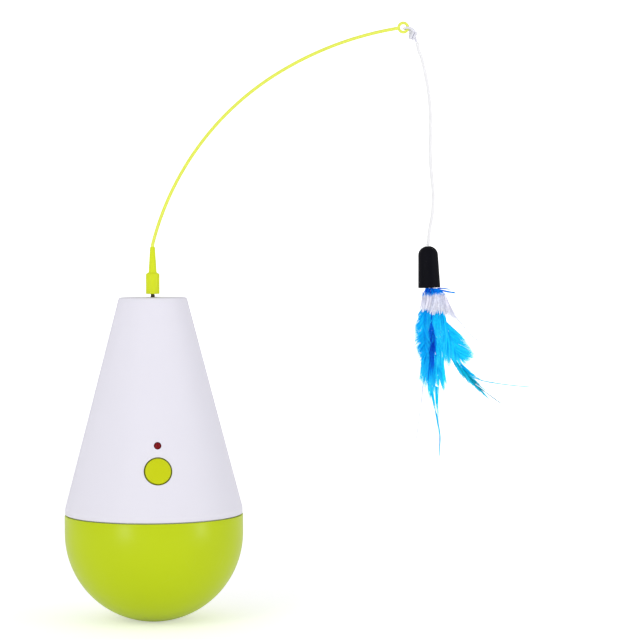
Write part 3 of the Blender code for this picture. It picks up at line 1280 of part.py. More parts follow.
LOOP_WAY = Vector((math.cos(LOOP_ANGLE), 0.0, math.sin(LOOP_ANGLE)))
KNOT_WAY = Vector((math.cos(KNOT_ANGLE), 0.0, math.sin(KNOT_ANGLE)))
KNOT_CENTRE = EYE_CENTRE + LOOP_WAY * (EYE_RADIUS + LOOP_LENGTH)
CORD_TOP = KNOT_CENTRE + KNOT_WAY * (KNOT_HALF_LENGTH + SEAT_GAP + KNOB_RADIUS)
CORD_STOPS = [CORD_TOP + Vector((x, 0.0, z)) for x, z in CORD_ROUTE]
CAP_TOP = CORD_STOPS[-1]


def ball(name, centre, radius, colour=None, stretch=1.0, way=None, sides=TINY_SIDES):
    """A round knot, stretched along a direction."""
    bm = bmesh.new()
    bmesh.ops.create_uvsphere(bm, u_segments=sides, v_segments=sides // 2 + 1, radius=radius)
    turn = Matrix() if way is None else way.to_track_quat("Z", "Y").to_matrix().to_4x4()
    shape = Matrix.Translation(centre) @ turn @ Matrix.Diagonal((1.0, 1.0, stretch, 1.0))
    bmesh.ops.transform(bm, matrix=shape, verts=bm.verts)
    return mesh_object(name, bm, colour)


def build_string_knot():
    """The loop through the eye, with the knot that closes it and the cord's loose tail."""
    knot = ball("string_knot", KNOT_CENTRE, KNOT_RADIUS, "cord_white",
                KNOT_HALF_LENGTH / KNOT_RADIUS, KNOT_WAY, SCREW_SIDES)
    points = []
    leg = LOOP_WAY * (EYE_RADIUS + LOOP_LENGTH - KNOT_RADIUS / 2)
    across = Vector((0.0, LOOP_CORD_RADIUS, 0.0))
    points.append(EYE_CENTRE + leg - across)
    for step in range(LOOP_POINTS):
        angle = math.pi * (step / (LOOP_POINTS - 1) - 1 / 2)
        along = EYE_RADIUS - LOOP_HALF_WIDTH * math.cos(angle)
        points.append(EYE_CENTRE + LOOP_WAY * along
                      + Vector((0.0, LOOP_HALF_WIDTH * math.sin(angle), 0.0)))
    points.append(EYE_CENTRE + leg + across)
    combine(knot, tube("knot_loop", points, LOOP_CORD_RADIUS, resolution=1), "UNION")
    tail_way = Vector((math.cos(TAIL_ANGLE), 0.0, math.sin(TAIL_ANGLE)))
    tail = tube("knot_tail", [KNOT_CENTRE, KNOT_CENTRE + tail_way * (KNOT_HALF_LENGTH + TAIL_LENGTH)],
                LOOP_CORD_RADIUS, resolution=1)
    combine(knot, tail, "UNION")
    return knot


def build_lure_string():
    """The cord from the knot to the cap, with a small knot at each end to turn on."""
    string = tube("lure_string", smooth_route(CORD_STOPS, CORD_STEP), CORD_RADIUS, "cord_white")
    combine(string, ball("string_top_knob", CORD_TOP, KNOB_RADIUS), "UNION")
    combine(string, ball("string_end_knob", CAP_TOP, KNOB_RADIUS), "UNION")
    return string


# Lure

CAP_TURN = Matrix.Rotation(CAP_LEAN, 4, "Y")
CAP_PLACE = Matrix.Translation(CAP_TOP) @ CAP_TURN
MOUTH = CAP_PLACE @ Vector((0.0, 0.0, -CAP_LENGTH))
PLUG_LOW = CAP_PLUG_SUNK - CAP_LENGTH
PLUG_HIGH = PLUG_LOW + CAP_PLUG_DEPTH


def build_lure_cap():
    """The black rubber cap: a domed top with a dimple for the cord, and a socket for the plug."""
    socket = CAP_RADIUS - CAP_WALL
    ceiling = PLUG_HIGH + SEAT_GAP
    start = math.acos(CAP_DIMPLE_RADIUS / CAP_TOP_RADIUS)
    dome = [(CAP_TOP_RADIUS * math.cos(start * (1 - step / ARC_STEPS)),
             CAP_DOME * (math.sin(start * (1 - step / ARC_STEPS)) - 1)) for step in range(ARC_STEPS + 1)]
    profile = [(0.0, -CAP_DIMPLE_DEPTH), (CAP_DIMPLE_RADIUS, -CAP_DIMPLE_DEPTH)] + dome
    profile += [(CAP_RADIUS, CAP_EDGE - CAP_LENGTH), (CAP_RADIUS - CAP_EDGE, -CAP_LENGTH),
                (socket, -CAP_LENGTH), (socket, ceiling), (0.0, ceiling)]
    cap = turned("lure_cap", profile, "black_rubber", ROUND_SIDES)
    cap.matrix_world = CAP_PLACE
    return cap


def quill_place(number):
    """Place of a feather's quill in the plug: two staggered rows."""
    layer = number - (len(FEATHER_TIPS) - 1) / 2
    return QUILL_ROW_X * (1 if number % 2 else -1), layer * FEATHER_LAYER


def build_lure_plug():
    """The plug that holds the quills in the cap's mouth."""
    plug = bmesh.new()
    add_cylinder(plug, CAP_RADIUS - CAP_WALL - SEAT_GAP, PLUG_LOW, PLUG_HIGH)
    plug = mesh_object("lure_plug", plug, "black_plastic")
    bores = bmesh.new()
    for number in range(len(FEATHER_TIPS)):
        add_cylinder(bores, QUILL_BORE_RADIUS, PLUG_LOW - CUT_OVERRUN, PLUG_LOW + QUILL_BORE_DEPTH,
                     quill_place(number), TINY_SIDES)
    bores = mesh_object("quill_bores", bores)
    combine(plug, bores, "DIFFERENCE")
    for piece in (plug, bores):
        piece.matrix_world = CAP_PLACE
    return plug


def build_feather(number):
    """One feather: a bare quill in its bore, then a curved vane that tapers to its tip.

    Every point lies deeper or nearer by its distance from the mouth, in step with the feather's
    layer, so the feathers nest and never cross.
    """
    (tip_x, tip_z), (bend_x, bend_z) = FEATHER_TIPS[number], FEATHER_BENDS[number]
    half_width, quill_share = FEATHER_HALF_WIDTHS[number], BARE_QUILL_SHARES[number]
    row_x, row_y = quill_place(number)
    start = CAP_TURN @ Vector((row_x, 0.0, 0.0))
    stations = []
    for height in (CAP_PLUG_SUNK + QUILL_BORE_DEPTH - SEAT_GAP, CAP_PLUG_SUNK):
        stations.append((CAP_TURN @ Vector((row_x, 0.0, height)), QUILL_RADIUS))
    bend, tip = Vector((bend_x, 0.0, bend_z)), Vector((tip_x, 0.0, tip_z))
    stations.append((start, QUILL_RADIUS))
    last = len(VANE_SHARES) - 1
    for step, share in enumerate(VANE_SHARES):
        t = quill_share + (1 - quill_share) * step / last
        stations.append((start.lerp(bend, t).lerp(bend.lerp(tip, t), t),
                         max(QUILL_RADIUS, half_width * share)))
    bm = bmesh.new()
    rows = []
    for index, (spot, half) in enumerate(stations):
        before = stations[max(index - 1, 0)][0]
        after = stations[min(index + 1, len(stations) - 1)][0]
        way = (after - before).normalized()
        side = Vector((way.z, 0.0, -way.x))
        row = []
        for across in (-half, half):
            place = spot + side * across
            depth = row_y * (1 + max(0.0, -place.z) / FEATHER_SPREAD_LENGTH)
            row.append(bm.verts.new(MOUTH + place + Vector((0.0, depth, 0.0))))
        rows.append(row)
    for near, far in zip(rows, rows[1:]):
        bm.faces.new((near[0], near[1], far[1], far[0]))
    feather = mesh_object(f"feather_{number + 1}", bm, FEATHER_COLOURS[number])
    body = feather.modifiers.new("thickness", "SOLIDIFY")
    body.thickness = FEATHER_THICKNESS
    body.offset = 0.0
    put_origin(feather, CAP_TOP)
    return feather


# Assembly

def screw_place(x, y, z, turn=Matrix()):
    """Where a screw that points down goes."""
    return turn @ Matrix.Translation((x, y, z))


def build_screws():
    """Every screw of the base, the casing, the gearbox and the board."""
    down = Matrix.Rotation(math.pi, 4, "X")
    fixed = [build_screw("ballast_screw", BALLAST_SCREW,
                         screw_place(0.0, 0.0, BALLAST_TOP_Z - BALLAST_SCREW[1]))]
    turning = []
    for number, angle in enumerate(CHASSIS_SCREW_ANGLES, 1):
        place = screw_place(CHASSIS_SCREW_RADIUS, 0.0, CHASSIS_LOW_Z, spin_about_z(angle)) @ down
        turning.append(build_screw(f"chassis_screw_{number}", CHASSIS_SCREW, place))
    for number, (x, y) in enumerate(POSTS, 1):
        turning.append(build_screw(f"gearbox_screw_{number}", GEARBOX_SCREW,
                                   screw_place(x, y, GEARBOX_TOP_Z)))
    for number, (x, y) in enumerate(BOARD_BOSSES, 1):
        turning.append(build_screw(f"pcb_screw_{number}", BOARD_SCREW,
                                   PANEL @ Matrix.Translation((x, y, -BOARD_BACK)) @ down))
    return fixed, turning


def build_gears():
    """The gears in mesh, from the output gear to the motor's pinion."""
    pinion_2 = meshed_phase(WHEEL_TEETH, 0.0, GEAR_2_ANGLE, PINION_TEETH)
    pinion_1 = meshed_phase(WHEEL_TEETH, 0.0, GEAR_1_ANGLE, PINION_TEETH)
    pinion_0 = meshed_phase(WHEEL_TEETH, 0.0, MOTOR_ANGLE, PINION_TEETH)
    gear_2 = build_compound_gear("gear_2", GEAR_2_AXIS, LEVEL_2_Z, LEVEL_1_Z, pinion_2)
    gear_1 = build_compound_gear("gear_1", GEAR_1_AXIS, LEVEL_3_Z, LEVEL_2_Z - LEVEL_GAP / 2, pinion_1)
    return build_output_gear(), gear_2, gear_1, build_motor_pinion(pinion_0)


def main():
    """Build every piece and hang it on the empty of its joint."""
    base = joint_empty("base_frame", (0.0, 0.0, 0.0))
    casing_axis = joint_empty("casing_axis", (0.0, 0.0, SEAM_Z), base)
    button_axis = joint_empty("button_axis", PANEL.translation, casing_axis)
    shaft_axis = joint_empty("shaft_axis", (0.0, 0.0, CASING_TOP_Z), casing_axis)
    gear_2_axis = joint_empty("gear_2_axis", (*GEAR_2_AXIS, LEVEL_2_Z), casing_axis)
    gear_1_axis = joint_empty("gear_1_axis", (*GEAR_1_AXIS, LEVEL_3_Z), casing_axis)
    rotor_axis = joint_empty("rotor_axis", (*MOTOR_AXIS, MOTOR_LOW_Z), casing_axis)
    wand_axis = joint_empty("wand_axis", (0.0, 0.0, SLEEVE_LOW_Z), shaft_axis)
    loop_axis = joint_empty("loop_axis", EYE_CENTRE, wand_axis)
    string_axis = joint_empty("string_axis", CORD_TOP, loop_axis)
    lure_axis = joint_empty("lure_axis", CAP_TOP, string_axis)

    base_screws, casing_screws = build_screws()
    output_gear, gear_2, gear_1, motor_pinion = build_gears()
    housing, plunger = build_switch()
    knot = build_string_knot()
    put_origin(knot, EYE_CENTRE)
    string = build_lure_string()

    groups = {
        base: [build_base_shell(), build_ballast(), *base_screws],
        casing_axis: [
            build_upper_casing(), build_top_bush(), build_chassis_plate(), build_gearbox_plate(),
            build_pcb(), build_led(), housing, build_motor_can(), build_motor_end_cap(),
            build_pin("gear_axle_1", GEAR_1_AXIS, AXLE_1_BOSS_Z - AXLE_SEAT,
                      GEARBOX_TOP_Z - SEAT_GAP),
            build_pin("gear_axle_2", GEAR_2_AXIS, AXLE_2_BOSS_Z - AXLE_SEAT,
                      GEARBOX_TOP_Z - SEAT_GAP),
            build_contact_plate("contact_plate_1", 1, (0, 1)),
            build_contact_plate("contact_plate_2", 1, (2,)),
            build_contact_plate("contact_plate_3", -1, (0,)),
            build_contact_plate("contact_plate_4", -1, (1, 2)),
            *[build_battery_cell(number) for number in range(CELL_COUNT)],
            *[build_battery_spring(number) for number in range(CELL_COUNT)],
            *build_leads(), *casing_screws],
        button_axis: [build_power_button(), plunger],
        shaft_axis: [build_drive_shaft(), output_gear],
        gear_2_axis: [gear_2],
        gear_1_axis: [gear_1],
        rotor_axis: [motor_pinion,
                     build_pin("motor_shaft", MOTOR_AXIS, LEVEL_3_Z - LEVEL_GAP / 2,
                               MOTOR_LOW_Z + MOTOR_BORE - SEAT_GAP)],
        wand_axis: [build_wand_connector(), build_wand_rod()],
        loop_axis: [knot],
        string_axis: [string],
        lure_axis: [build_lure_cap(), build_lure_plug(),
                    *[build_feather(number) for number in range(len(FEATHER_TIPS))]],
    }
    for empty, pieces in groups.items():
        for piece in pieces:
            carry(piece, empty)


main()
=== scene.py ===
"""Looks of the battery cat toy: dome, cone, bent wand, cord and feather lure.

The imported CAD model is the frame. Pieces that show get a finer shape here, and every piece gets a
material made of nodes. Everything is in metres, +Z up.
"""

import json
import logging
import math
import random
from dataclasses import dataclass
from enum import Enum
from typing import Callable, Sequence

import bmesh
import bpy
from mathutils import Matrix, Vector, kdtree

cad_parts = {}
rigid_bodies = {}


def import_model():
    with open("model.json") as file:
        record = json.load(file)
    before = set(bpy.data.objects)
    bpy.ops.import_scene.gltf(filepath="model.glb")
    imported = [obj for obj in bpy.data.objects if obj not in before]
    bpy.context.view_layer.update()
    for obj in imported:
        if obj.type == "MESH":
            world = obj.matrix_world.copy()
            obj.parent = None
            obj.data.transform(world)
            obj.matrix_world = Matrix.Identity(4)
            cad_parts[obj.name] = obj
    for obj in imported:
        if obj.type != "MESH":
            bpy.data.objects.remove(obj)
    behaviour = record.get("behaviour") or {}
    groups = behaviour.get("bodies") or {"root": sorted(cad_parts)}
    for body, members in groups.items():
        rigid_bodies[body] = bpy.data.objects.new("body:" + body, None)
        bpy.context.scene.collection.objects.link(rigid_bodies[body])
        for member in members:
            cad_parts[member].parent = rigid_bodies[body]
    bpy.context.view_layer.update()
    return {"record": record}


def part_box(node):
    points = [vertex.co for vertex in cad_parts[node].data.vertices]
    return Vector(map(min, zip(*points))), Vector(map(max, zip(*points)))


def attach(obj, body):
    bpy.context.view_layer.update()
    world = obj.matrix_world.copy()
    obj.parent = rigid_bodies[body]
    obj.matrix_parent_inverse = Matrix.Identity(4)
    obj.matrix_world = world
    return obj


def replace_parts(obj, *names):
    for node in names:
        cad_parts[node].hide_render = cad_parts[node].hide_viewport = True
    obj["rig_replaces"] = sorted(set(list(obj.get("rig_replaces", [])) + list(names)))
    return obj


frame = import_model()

log = logging.getLogger("cat_toy")

Colour = tuple[float, float, float]
Point = tuple[float, float, float]
ProfilePoint = tuple[float, float]
Socket = bpy.types.NodeSocket

SMOOTH_ANGLE = math.radians(32)
BEVEL_ANGLE = math.radians(40)
MERGE_GAP = 1e-6
Y_AXIS = Vector((0.0, 1.0, 0.0)).freeze()
WHITE_LIGHT = (1.0, 1.0, 1.0, 1.0)
DUST_COLOUR = (0.62, 0.60, 0.57)
SCUFF_DEPTH = 0.00001
SCUFF_ROUGHNESS = 0.35
RUBBED_SHARE = 0.8
RUBBED_ROUGHNESS = 0.4
PALE_SHARE = 0.75
PALE_LIFT = 0.22
BRAID_PITCH = 0.0016
BRAID_PAIRS = 2.0


class NodeMaker:
    """Adds nodes to one tree, with short forms of the kinds that are used most."""

    def __init__(self, tree: bpy.types.NodeTree) -> None:
        """Keep the tree."""
        self.tree = tree

    def fill(self, node: bpy.types.Node, label: str | int, value: object) -> None:
        """Set an input of a node, or link it.

        Args:
            node: the node.
            label: the input's name or number.
            value: a value or a source socket.
        """
        socket = node.inputs[label]
        if isinstance(value, Socket):
            self.tree.links.new(value, socket)
        elif isinstance(value, tuple) and len(value) == 3 and socket.type == "RGBA":
            socket.default_value = (*value, 1.0)
        else:
            socket.default_value = value

    def node(self, kind: str, settings: dict[str, object] | None = None,
             **values: object) -> bpy.types.Node:
        """Add a node and fill its inputs.

        Args:
            kind: the node's type, without its first words.
            settings: properties of the node.
            values: input names, with spaces as underscores, or in_0, in_1 for an input by its number.

        Returns:
            The new node.
        """
        node = self.tree.nodes.new(f"ShaderNode{kind}")
        for label, value in (settings or {}).items():
            setattr(node, label, value)
        for label, value in values.items():
            self.fill(node, int(label[3:]) if label.startswith("in_") else label.replace("_", " "), value)
        return node

    def calc(self, operation: str, *values: object) -> Socket:
        """The result of a Math node."""
        inputs = {f"in_{number}": value for number, value in enumerate(values)}
        return self.node("Math", {"operation": operation}, **inputs).outputs[0]

    def ramp(self, value: Socket, low: object, high: object, first: object = 0.0,
             last: object = 1.0) -> Socket:
        """A value between low and high, brought to lie between first and last."""
        return self.node("MapRange", in_0=value, in_1=low, in_2=high, in_3=first, in_4=last).outputs[0]

    def noise(self, place: Socket, scale: object, detail: float) -> Socket:
        """Noise from 0 to 1."""
        return self.node("TexNoise", Vector=place, Scale=scale, Detail=detail).outputs["Fac"]

    def mix(self, first: object, second: object, share: Socket) -> Socket:
        """Mix two colours.

        Args:
            first: a colour or a socket.
            second: a colour or a socket.
            share: how much of the second.

        Returns:
            The mixed colour's socket.
        """
        return self.node("Mix", {"data_type": "RGBA"}, in_0=share, in_6=first, in_7=second).outputs[2]

    def scaled(self, colour: Socket, share: Socket) -> Socket:
        """A colour times a number."""
        return self.node("VectorMath", {"operation": "SCALE"}, in_0=colour, Scale=share).outputs[0]


# Node groups that several materials share

class GroupMaker(NodeMaker):
    """Builds one shader node group with named inputs and outputs."""

    def __init__(self, name: str, inputs: dict[str, object], outputs: dict[str, object]) -> None:
        """Make the empty group.

        Args:
            name: the group's name.
            inputs: input names with their default values, None for a vector.
            outputs: output names with a value of their kind.
        """
        super().__init__(bpy.data.node_groups.new(name, "ShaderNodeTree"))
        for way, labels in (("INPUT", inputs), ("OUTPUT", outputs)):
            for label, value in labels.items():
                colour = isinstance(value, tuple)
                kind = "Color" if colour else "Vector" if value is None else "Float"
                made = self.tree.interface.new_socket(label, in_out=way, socket_type=f"NodeSocket{kind}")
                if way == "INPUT" and value is not None:
                    made.default_value = (*value, 1.0) if colour else value
        self.given = self.tree.nodes.new("NodeGroupInput").outputs
        self.end = self.tree.nodes.new("NodeGroupOutput").inputs

    def give(self, **sources: Socket) -> None:
        """Connect the group's outputs."""
        for label, source in sources.items():
            self.tree.links.new(source, self.end[label])


def moulded_group() -> bpy.types.NodeTree:
    """Moulded plastic: a faint cloudy tint, uneven gloss and the fine texture of the mould.

    Returns:
        The group, with outputs Color, Roughness and Height.
    """
    made = GroupMaker("moulded_surface", {
        "Vector": None, "Color": (0.8, 0.8, 0.8), "Tint": 0.03, "Roughness": 0.3, "Gloss Change": 0.05,
        "Grain Size": 0.0005}, {"Color": (0, 0, 0), "Roughness": 0.0, "Height": 0.0})
    given = made.given
    around = made.calc("SUBTRACT", made.noise(given["Vector"], 38.0, 3.0), 0.5)
    shade = made.calc("MULTIPLY_ADD", around, given["Tint"], 1.0)
    made.give(Color=made.scaled(given["Color"], shade),
              Roughness=made.calc("MULTIPLY_ADD", around, given["Gloss Change"], given["Roughness"]),
              Height=made.noise(given["Vector"], made.calc("DIVIDE", 1.0, given["Grain Size"]), 2.0))
    return made.tree


def handling_group() -> bpy.types.NodeTree:
    """Hairline scuffs and specks of dust that handling leaves.

    Returns:
        The group, with outputs Scuffs and Dust, both masks.
    """
    made = GroupMaker("handling_marks", {"Vector": None, "Scuff Amount": 0.3, "Dust Amount": 0.2},
                      {"Scuffs": 0.0, "Dust": 0.0})
    place = made.given["Vector"]
    bent = made.node("TexNoise", Vector=place, Scale=22.0, Detail=1.0).outputs["Color"]
    turned_place = made.node("VectorMath", {"operation": "MULTIPLY_ADD"}, in_0=bent,
                             in_1=(0.03, 0.03, 0.03), in_2=place).outputs[0]
    lines = made.node("TexVoronoi", {"feature": "DISTANCE_TO_EDGE"}, Vector=turned_place, Scale=70.0)
    thin = made.ramp(lines.outputs["Distance"], 0.0, 0.012, 1.0, 0.0)
    patchy = made.calc("MULTIPLY", thin, made.ramp(made.noise(place, 55.0, 2.0), 0.55, 0.75))
    specks = made.ramp(made.noise(place, 900.0, 1.0), 0.70, 0.78)
    made.give(Scuffs=made.calc("MULTIPLY", patchy, made.given["Scuff Amount"]),
              Dust=made.calc("MULTIPLY", specks, made.given["Dust Amount"]))
    return made.tree


def machined_group() -> bpy.types.NodeTree:
    """Turned or drawn metal: fine rings about Z or lines, and patches of tarnish.

    Returns:
        The group, with outputs Color, Roughness and Height.
    """
    made = GroupMaker("machined_metal", {
        "Vector": None, "Color": (0.6, 0.6, 0.6), "Tarnish": (0.3, 0.3, 0.3), "Tarnish Amount": 0.3,
        "Roughness": 0.3, "Line Size": 0.0003}, {"Color": (0, 0, 0), "Roughness": 0.0, "Height": 0.0})
    given = made.given
    flat = made.node("VectorMath", {"operation": "MULTIPLY"}, in_0=given["Vector"],
                     in_1=(0.06, 0.06, 1.0)).outputs[0]
    lines = made.noise(flat, made.calc("DIVIDE", 1.0, given["Line Size"]), 2.0)
    patch = made.ramp(made.noise(given["Vector"], 160.0, 4.0), 0.45, 0.75)
    much = made.calc("MULTIPLY", patch, given["Tarnish Amount"])
    made.give(Color=made.mix(given["Color"], given["Tarnish"], much),
              Roughness=made.calc("MULTIPLY_ADD", lines, 0.18, given["Roughness"]), Height=lines)
    return made.tree


class Pattern(Enum):
    """The shared node groups, each built once."""

    MOULDED = "moulded_surface"
    HANDLING = "handling_marks"
    MACHINED = "machined_metal"

    def tree(self) -> bpy.types.NodeTree:
        """The pattern's node group, built at its first use."""
        makers: dict[Pattern, Callable[[], bpy.types.NodeTree]] = {
            Pattern.MOULDED: moulded_group, Pattern.HANDLING: handling_group,
            Pattern.MACHINED: machined_group}
        return bpy.data.node_groups.get(self.value) or makers[self]()


class MaterialMaker(NodeMaker):
    """One material: a Principled shader whose inputs the finish fills."""

    def __init__(self, name: str) -> None:
        """Make the material with its shader and its object coordinates."""
        self.material = bpy.data.materials.new(name)
        self.material.use_nodes = True
        super().__init__(self.material.node_tree)
        self.shader = self.tree.nodes["Principled BSDF"]
        self.place = self.node("TexCoord").outputs["Object"]

    def group(self, pattern: Pattern, **values: object) -> dict[str, Socket]:
        """Place a shared node group with this material's own values.

        Args:
            pattern: the shared group.
            values: its inputs besides the object coordinates.

        Returns:
            The group's outputs by name.
        """
        node = self.tree.nodes.new("ShaderNodeGroup")
        node.node_tree = pattern.tree()
        for label, value in {"Vector": self.place, **values}.items():
            self.fill(node, label.replace("_", " "), value)
        return {output.name: output for output in node.outputs}

    def axis(self, name: str) -> Socket:
        """One of the object coordinates."""
        return self.node("SeparateXYZ", Vector=self.place).outputs[name]

    def attribute(self, name: str) -> Socket:
        """A value that the mesh holds."""
        return self.node("Attribute", {"attribute_name": name}).outputs["Fac"]

    def feed(self, **sources: Socket) -> None:
        """Connect inputs of the shader."""
        for label, source in sources.items():
            self.tree.links.new(source, self.shader.inputs[label.replace("_", " ")])

    def fixed(self, **values: object) -> None:
        """Set inputs of the shader that are the same all over."""
        for label, value in values.items():
            self.shader.inputs[label.replace("_", " ")].default_value = value

    def bump(self, height: Socket, depth: float, below: Socket | None = None) -> Socket:
        """Turn a height into a normal.

        Args:
            height: the height's socket, from 0 to 1.
            depth: how deep 1 is, in metres.
            below: a normal that the bump adds to.

        Returns:
            The normal's socket.
        """
        made = self.node("Bump", Strength=1.0, Distance=depth, Height=height)
        if below is not None:
            self.fill(made, "Normal", below)
        return made.outputs["Normal"]


# Modelling as by hand

def only(piece: bpy.types.Object) -> None:
    """Deselect everything, then select and activate one piece."""
    bpy.ops.object.select_all(action="DESELECT")
    piece.select_set(True)
    bpy.context.view_layer.objects.active = piece


class Editing:
    """Edit mode on one piece, left again at the end of a with block."""

    def __init__(self, piece: bpy.types.Object) -> None:
        """Keep the piece."""
        self.piece = piece

    def __enter__(self) -> "Editing":
        """Go into edit mode with nothing selected."""
        only(self.piece)
        bpy.ops.object.mode_set(mode="EDIT")
        bpy.ops.mesh.select_mode(type="VERT")
        bpy.ops.mesh.select_all(action="DESELECT")
        return self

    def __exit__(self, *problem: object) -> None:
        """Go back to object mode."""
        bpy.ops.object.mode_set(mode="OBJECT")

    def select(self, kind: str, test: Callable[[Vector], bool]) -> None:
        """Select the vertices or the edges whose middle passes a test.

        Args:
            kind: VERT or EDGE.
            test: says of a middle whether its element is selected.
        """
        bpy.ops.mesh.select_mode(type=kind)
        bpy.ops.mesh.select_all(action="DESELECT")
        mesh = bmesh.from_edit_mesh(self.piece.data)
        for item in mesh.verts if kind == "VERT" else mesh.edges:
            middle = item.co if kind == "VERT" else (item.verts[0].co + item.verts[1].co) / 2
            item.select_set(bool(test(middle)))
        bmesh.update_edit_mesh(self.piece.data)


def named(name: str) -> bpy.types.Object:
    """Give the active object its name, with its place in its mesh."""
    piece = bpy.context.object
    piece.name = name
    piece.data.name = name
    bpy.ops.object.transform_apply(location=True, rotation=True, scale=True)
    return piece


def merged(piece: bpy.types.Object) -> None:
    """Merge doubles and turn all faces outwards."""
    with Editing(piece):
        bpy.ops.mesh.select_all(action="SELECT")
        bpy.ops.mesh.remove_doubles(threshold=MERGE_GAP)
        bpy.ops.mesh.normals_make_consistent(inside=False)


def apply_modifier(piece: bpy.types.Object, kind: str, settings: dict[str, object]) -> None:
    """Add a modifier and apply it.

    Args:
        piece: the piece.
        kind: the modifier's type.
        settings: its properties.
    """
    only(piece)
    modifier = piece.modifiers.new(kind.title(), kind)
    for label, value in settings.items():
        setattr(modifier, label, value)
    bpy.ops.object.modifier_apply(modifier=modifier.name)


def cut(piece: bpy.types.Object, cutter: bpy.types.Object, operation: str = "DIFFERENCE") -> None:
    """Cut with another solid, or join it with UNION. The other solid is then removed."""
    apply_modifier(piece, "BOOLEAN", {"operation": operation, "object": cutter, "solver": "EXACT"})
    bpy.data.objects.remove(cutter, do_unlink=True)


def smooth(piece: bpy.types.Object, angle: float = SMOOTH_ANGLE) -> None:
    """Shade smooth, with edges sharper than the angle kept sharp."""
    only(piece)
    bpy.ops.object.shade_smooth_by_angle(angle=angle)


def dress(piece: bpy.types.Object, finish: "Finish | Surface", body: str, slot: str,
          replaced: Sequence[str]) -> bpy.types.Object:
    """Finish a piece: its material, the body it rides on and the nodes it stands for.

    Args:
        piece: the new piece.
        finish: its finish.
        body: the CAD body that it moves with.
        slot: the record's material slot; not used.
        replaced: CAD nodes that it replaces.

    Returns:
        The piece.
    """
    piece.data.materials.clear()
    piece.data.materials.append(finish.material())
    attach(piece, body)
    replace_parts(piece, *replaced)
    log.info("piece %s on %s: %d faces", piece.name, body, len(piece.data.polygons))
    return piece


def filleted(corners: Sequence[Point], steps: int = 6) -> list[ProfilePoint]:
    """Round the corners of a profile.

    Args:
        corners: radius, height and fillet of each corner, in order.
        steps: stretches in each fillet.

    Returns:
        The profile's points.
    """
    points: list[ProfilePoint] = []
    for number, (radius, height, fillet) in enumerate(corners):
        here = Vector((radius, height))
        if fillet <= 0 or number in (0, len(corners) - 1):
            points.append((radius, height))
            continue
        back = (Vector(corners[number - 1][:2]) - here).normalized()
        ahead = (Vector(corners[number + 1][:2]) - here).normalized()
        half = back.angle(ahead) / 2
        reach = fillet / math.tan(half)
        centre = here + (back + ahead).normalized() * fillet / math.sin(half)
        first = here + back * reach - centre
        turn = math.pi - 2 * half
        side = 1.0 if back.x * ahead.y - back.y * ahead.x < 0 else -1.0
        for step in range(steps + 1):
            angle = side * turn * step / steps
            point = centre + Matrix.Rotation(angle, 2) @ first
            points.append((max(0.0, point.x), point.y))
    return points


def turned(name: str, profile: Sequence[ProfilePoint], sides: int = 96) -> bpy.types.Object:
    """Turn a profile about the Z axis: one vertex, extruded along the profile and then spun.

    Args:
        name: the piece's name.
        profile: radius and height of each point; the same first and last point close it.
        sides: faces round the axis.

    Returns:
        The turned piece.
    """
    start = (profile[0][0], 0.0, profile[0][1])
    bpy.ops.object.select_all(action="DESELECT")
    bpy.ops.mesh.primitive_plane_add(size=0.001, location=start)
    piece = named(name)
    with Editing(piece):
        bpy.ops.mesh.select_all(action="SELECT")
        bpy.ops.mesh.merge(type="CENTER")
        for (near, low), (far, high) in zip(profile, profile[1:]):
            bpy.ops.mesh.extrude_region_move(
                TRANSFORM_OT_translate={"value": (far - near, 0.0, high - low)})
        bpy.ops.mesh.select_all(action="SELECT")
        bpy.ops.mesh.spin(steps=sides, angle=math.tau, center=(0, 0, 0), axis=(0, 0, 1))
    merged(piece)
    return piece


def placed(piece: bpy.types.Object, place: Matrix) -> bpy.types.Object:
    """Move a piece's mesh by a place and keep its object at the origin."""
    only(piece)
    piece.matrix_world = place
    bpy.ops.object.transform_apply(location=True, rotation=True, scale=True)
    return piece


def joined(pieces: Sequence[bpy.types.Object], name: str) -> bpy.types.Object:
    """Join pieces into the first one and name it."""
    only(pieces[0])
    for piece in pieces:
        piece.select_set(True)
    bpy.ops.object.join()
    whole = bpy.context.object
    whole.name = name
    whole.data.name = name
    return whole


def linked(name: str, data: bpy.types.ID) -> bpy.types.Object:
    """Add an object that holds a curve, a lamp or a camera."""
    made = bpy.data.objects.new(name, data)
    bpy.context.collection.objects.link(made)
    return made


def smooth_line(points: Sequence[Vector], step: float) -> list[Vector]:
    """A smooth line through points, at even steps.

    Args:
        points: the points that the line passes.
        step: the distance between the new points.

    Returns:
        Points along the line.
    """
    dense: list[Vector] = []
    rows = [2 * points[0] - points[1], *points, 2 * points[-1] - points[-2]]
    for before, first, second, after in zip(rows, rows[1:], rows[2:], rows[3:]):
        for part in range(24):
            t = part / 24
            dense.append(0.5 * (2 * first + (second - before) * t
                                + (2 * before - 5 * first + 4 * second - after) * t * t
                                + (3 * first - before - 3 * second + after) * t ** 3))
    dense.append(points[-1].copy())
    total = sum((b - a).length for a, b in zip(dense, dense[1:]))
    count = max(2, round(total / step))
    line = [dense[0]]
    walked, target = 0.0, total / count
    for a, b in zip(dense, dense[1:]):
        length = (b - a).length
        while length > 0 and walked + length >= target - 1e-12 and len(line) < count:
            line.append(a.lerp(b, (target - walked) / length))
            target += total / count
        walked += length
    line.append(dense[-1])
    return line


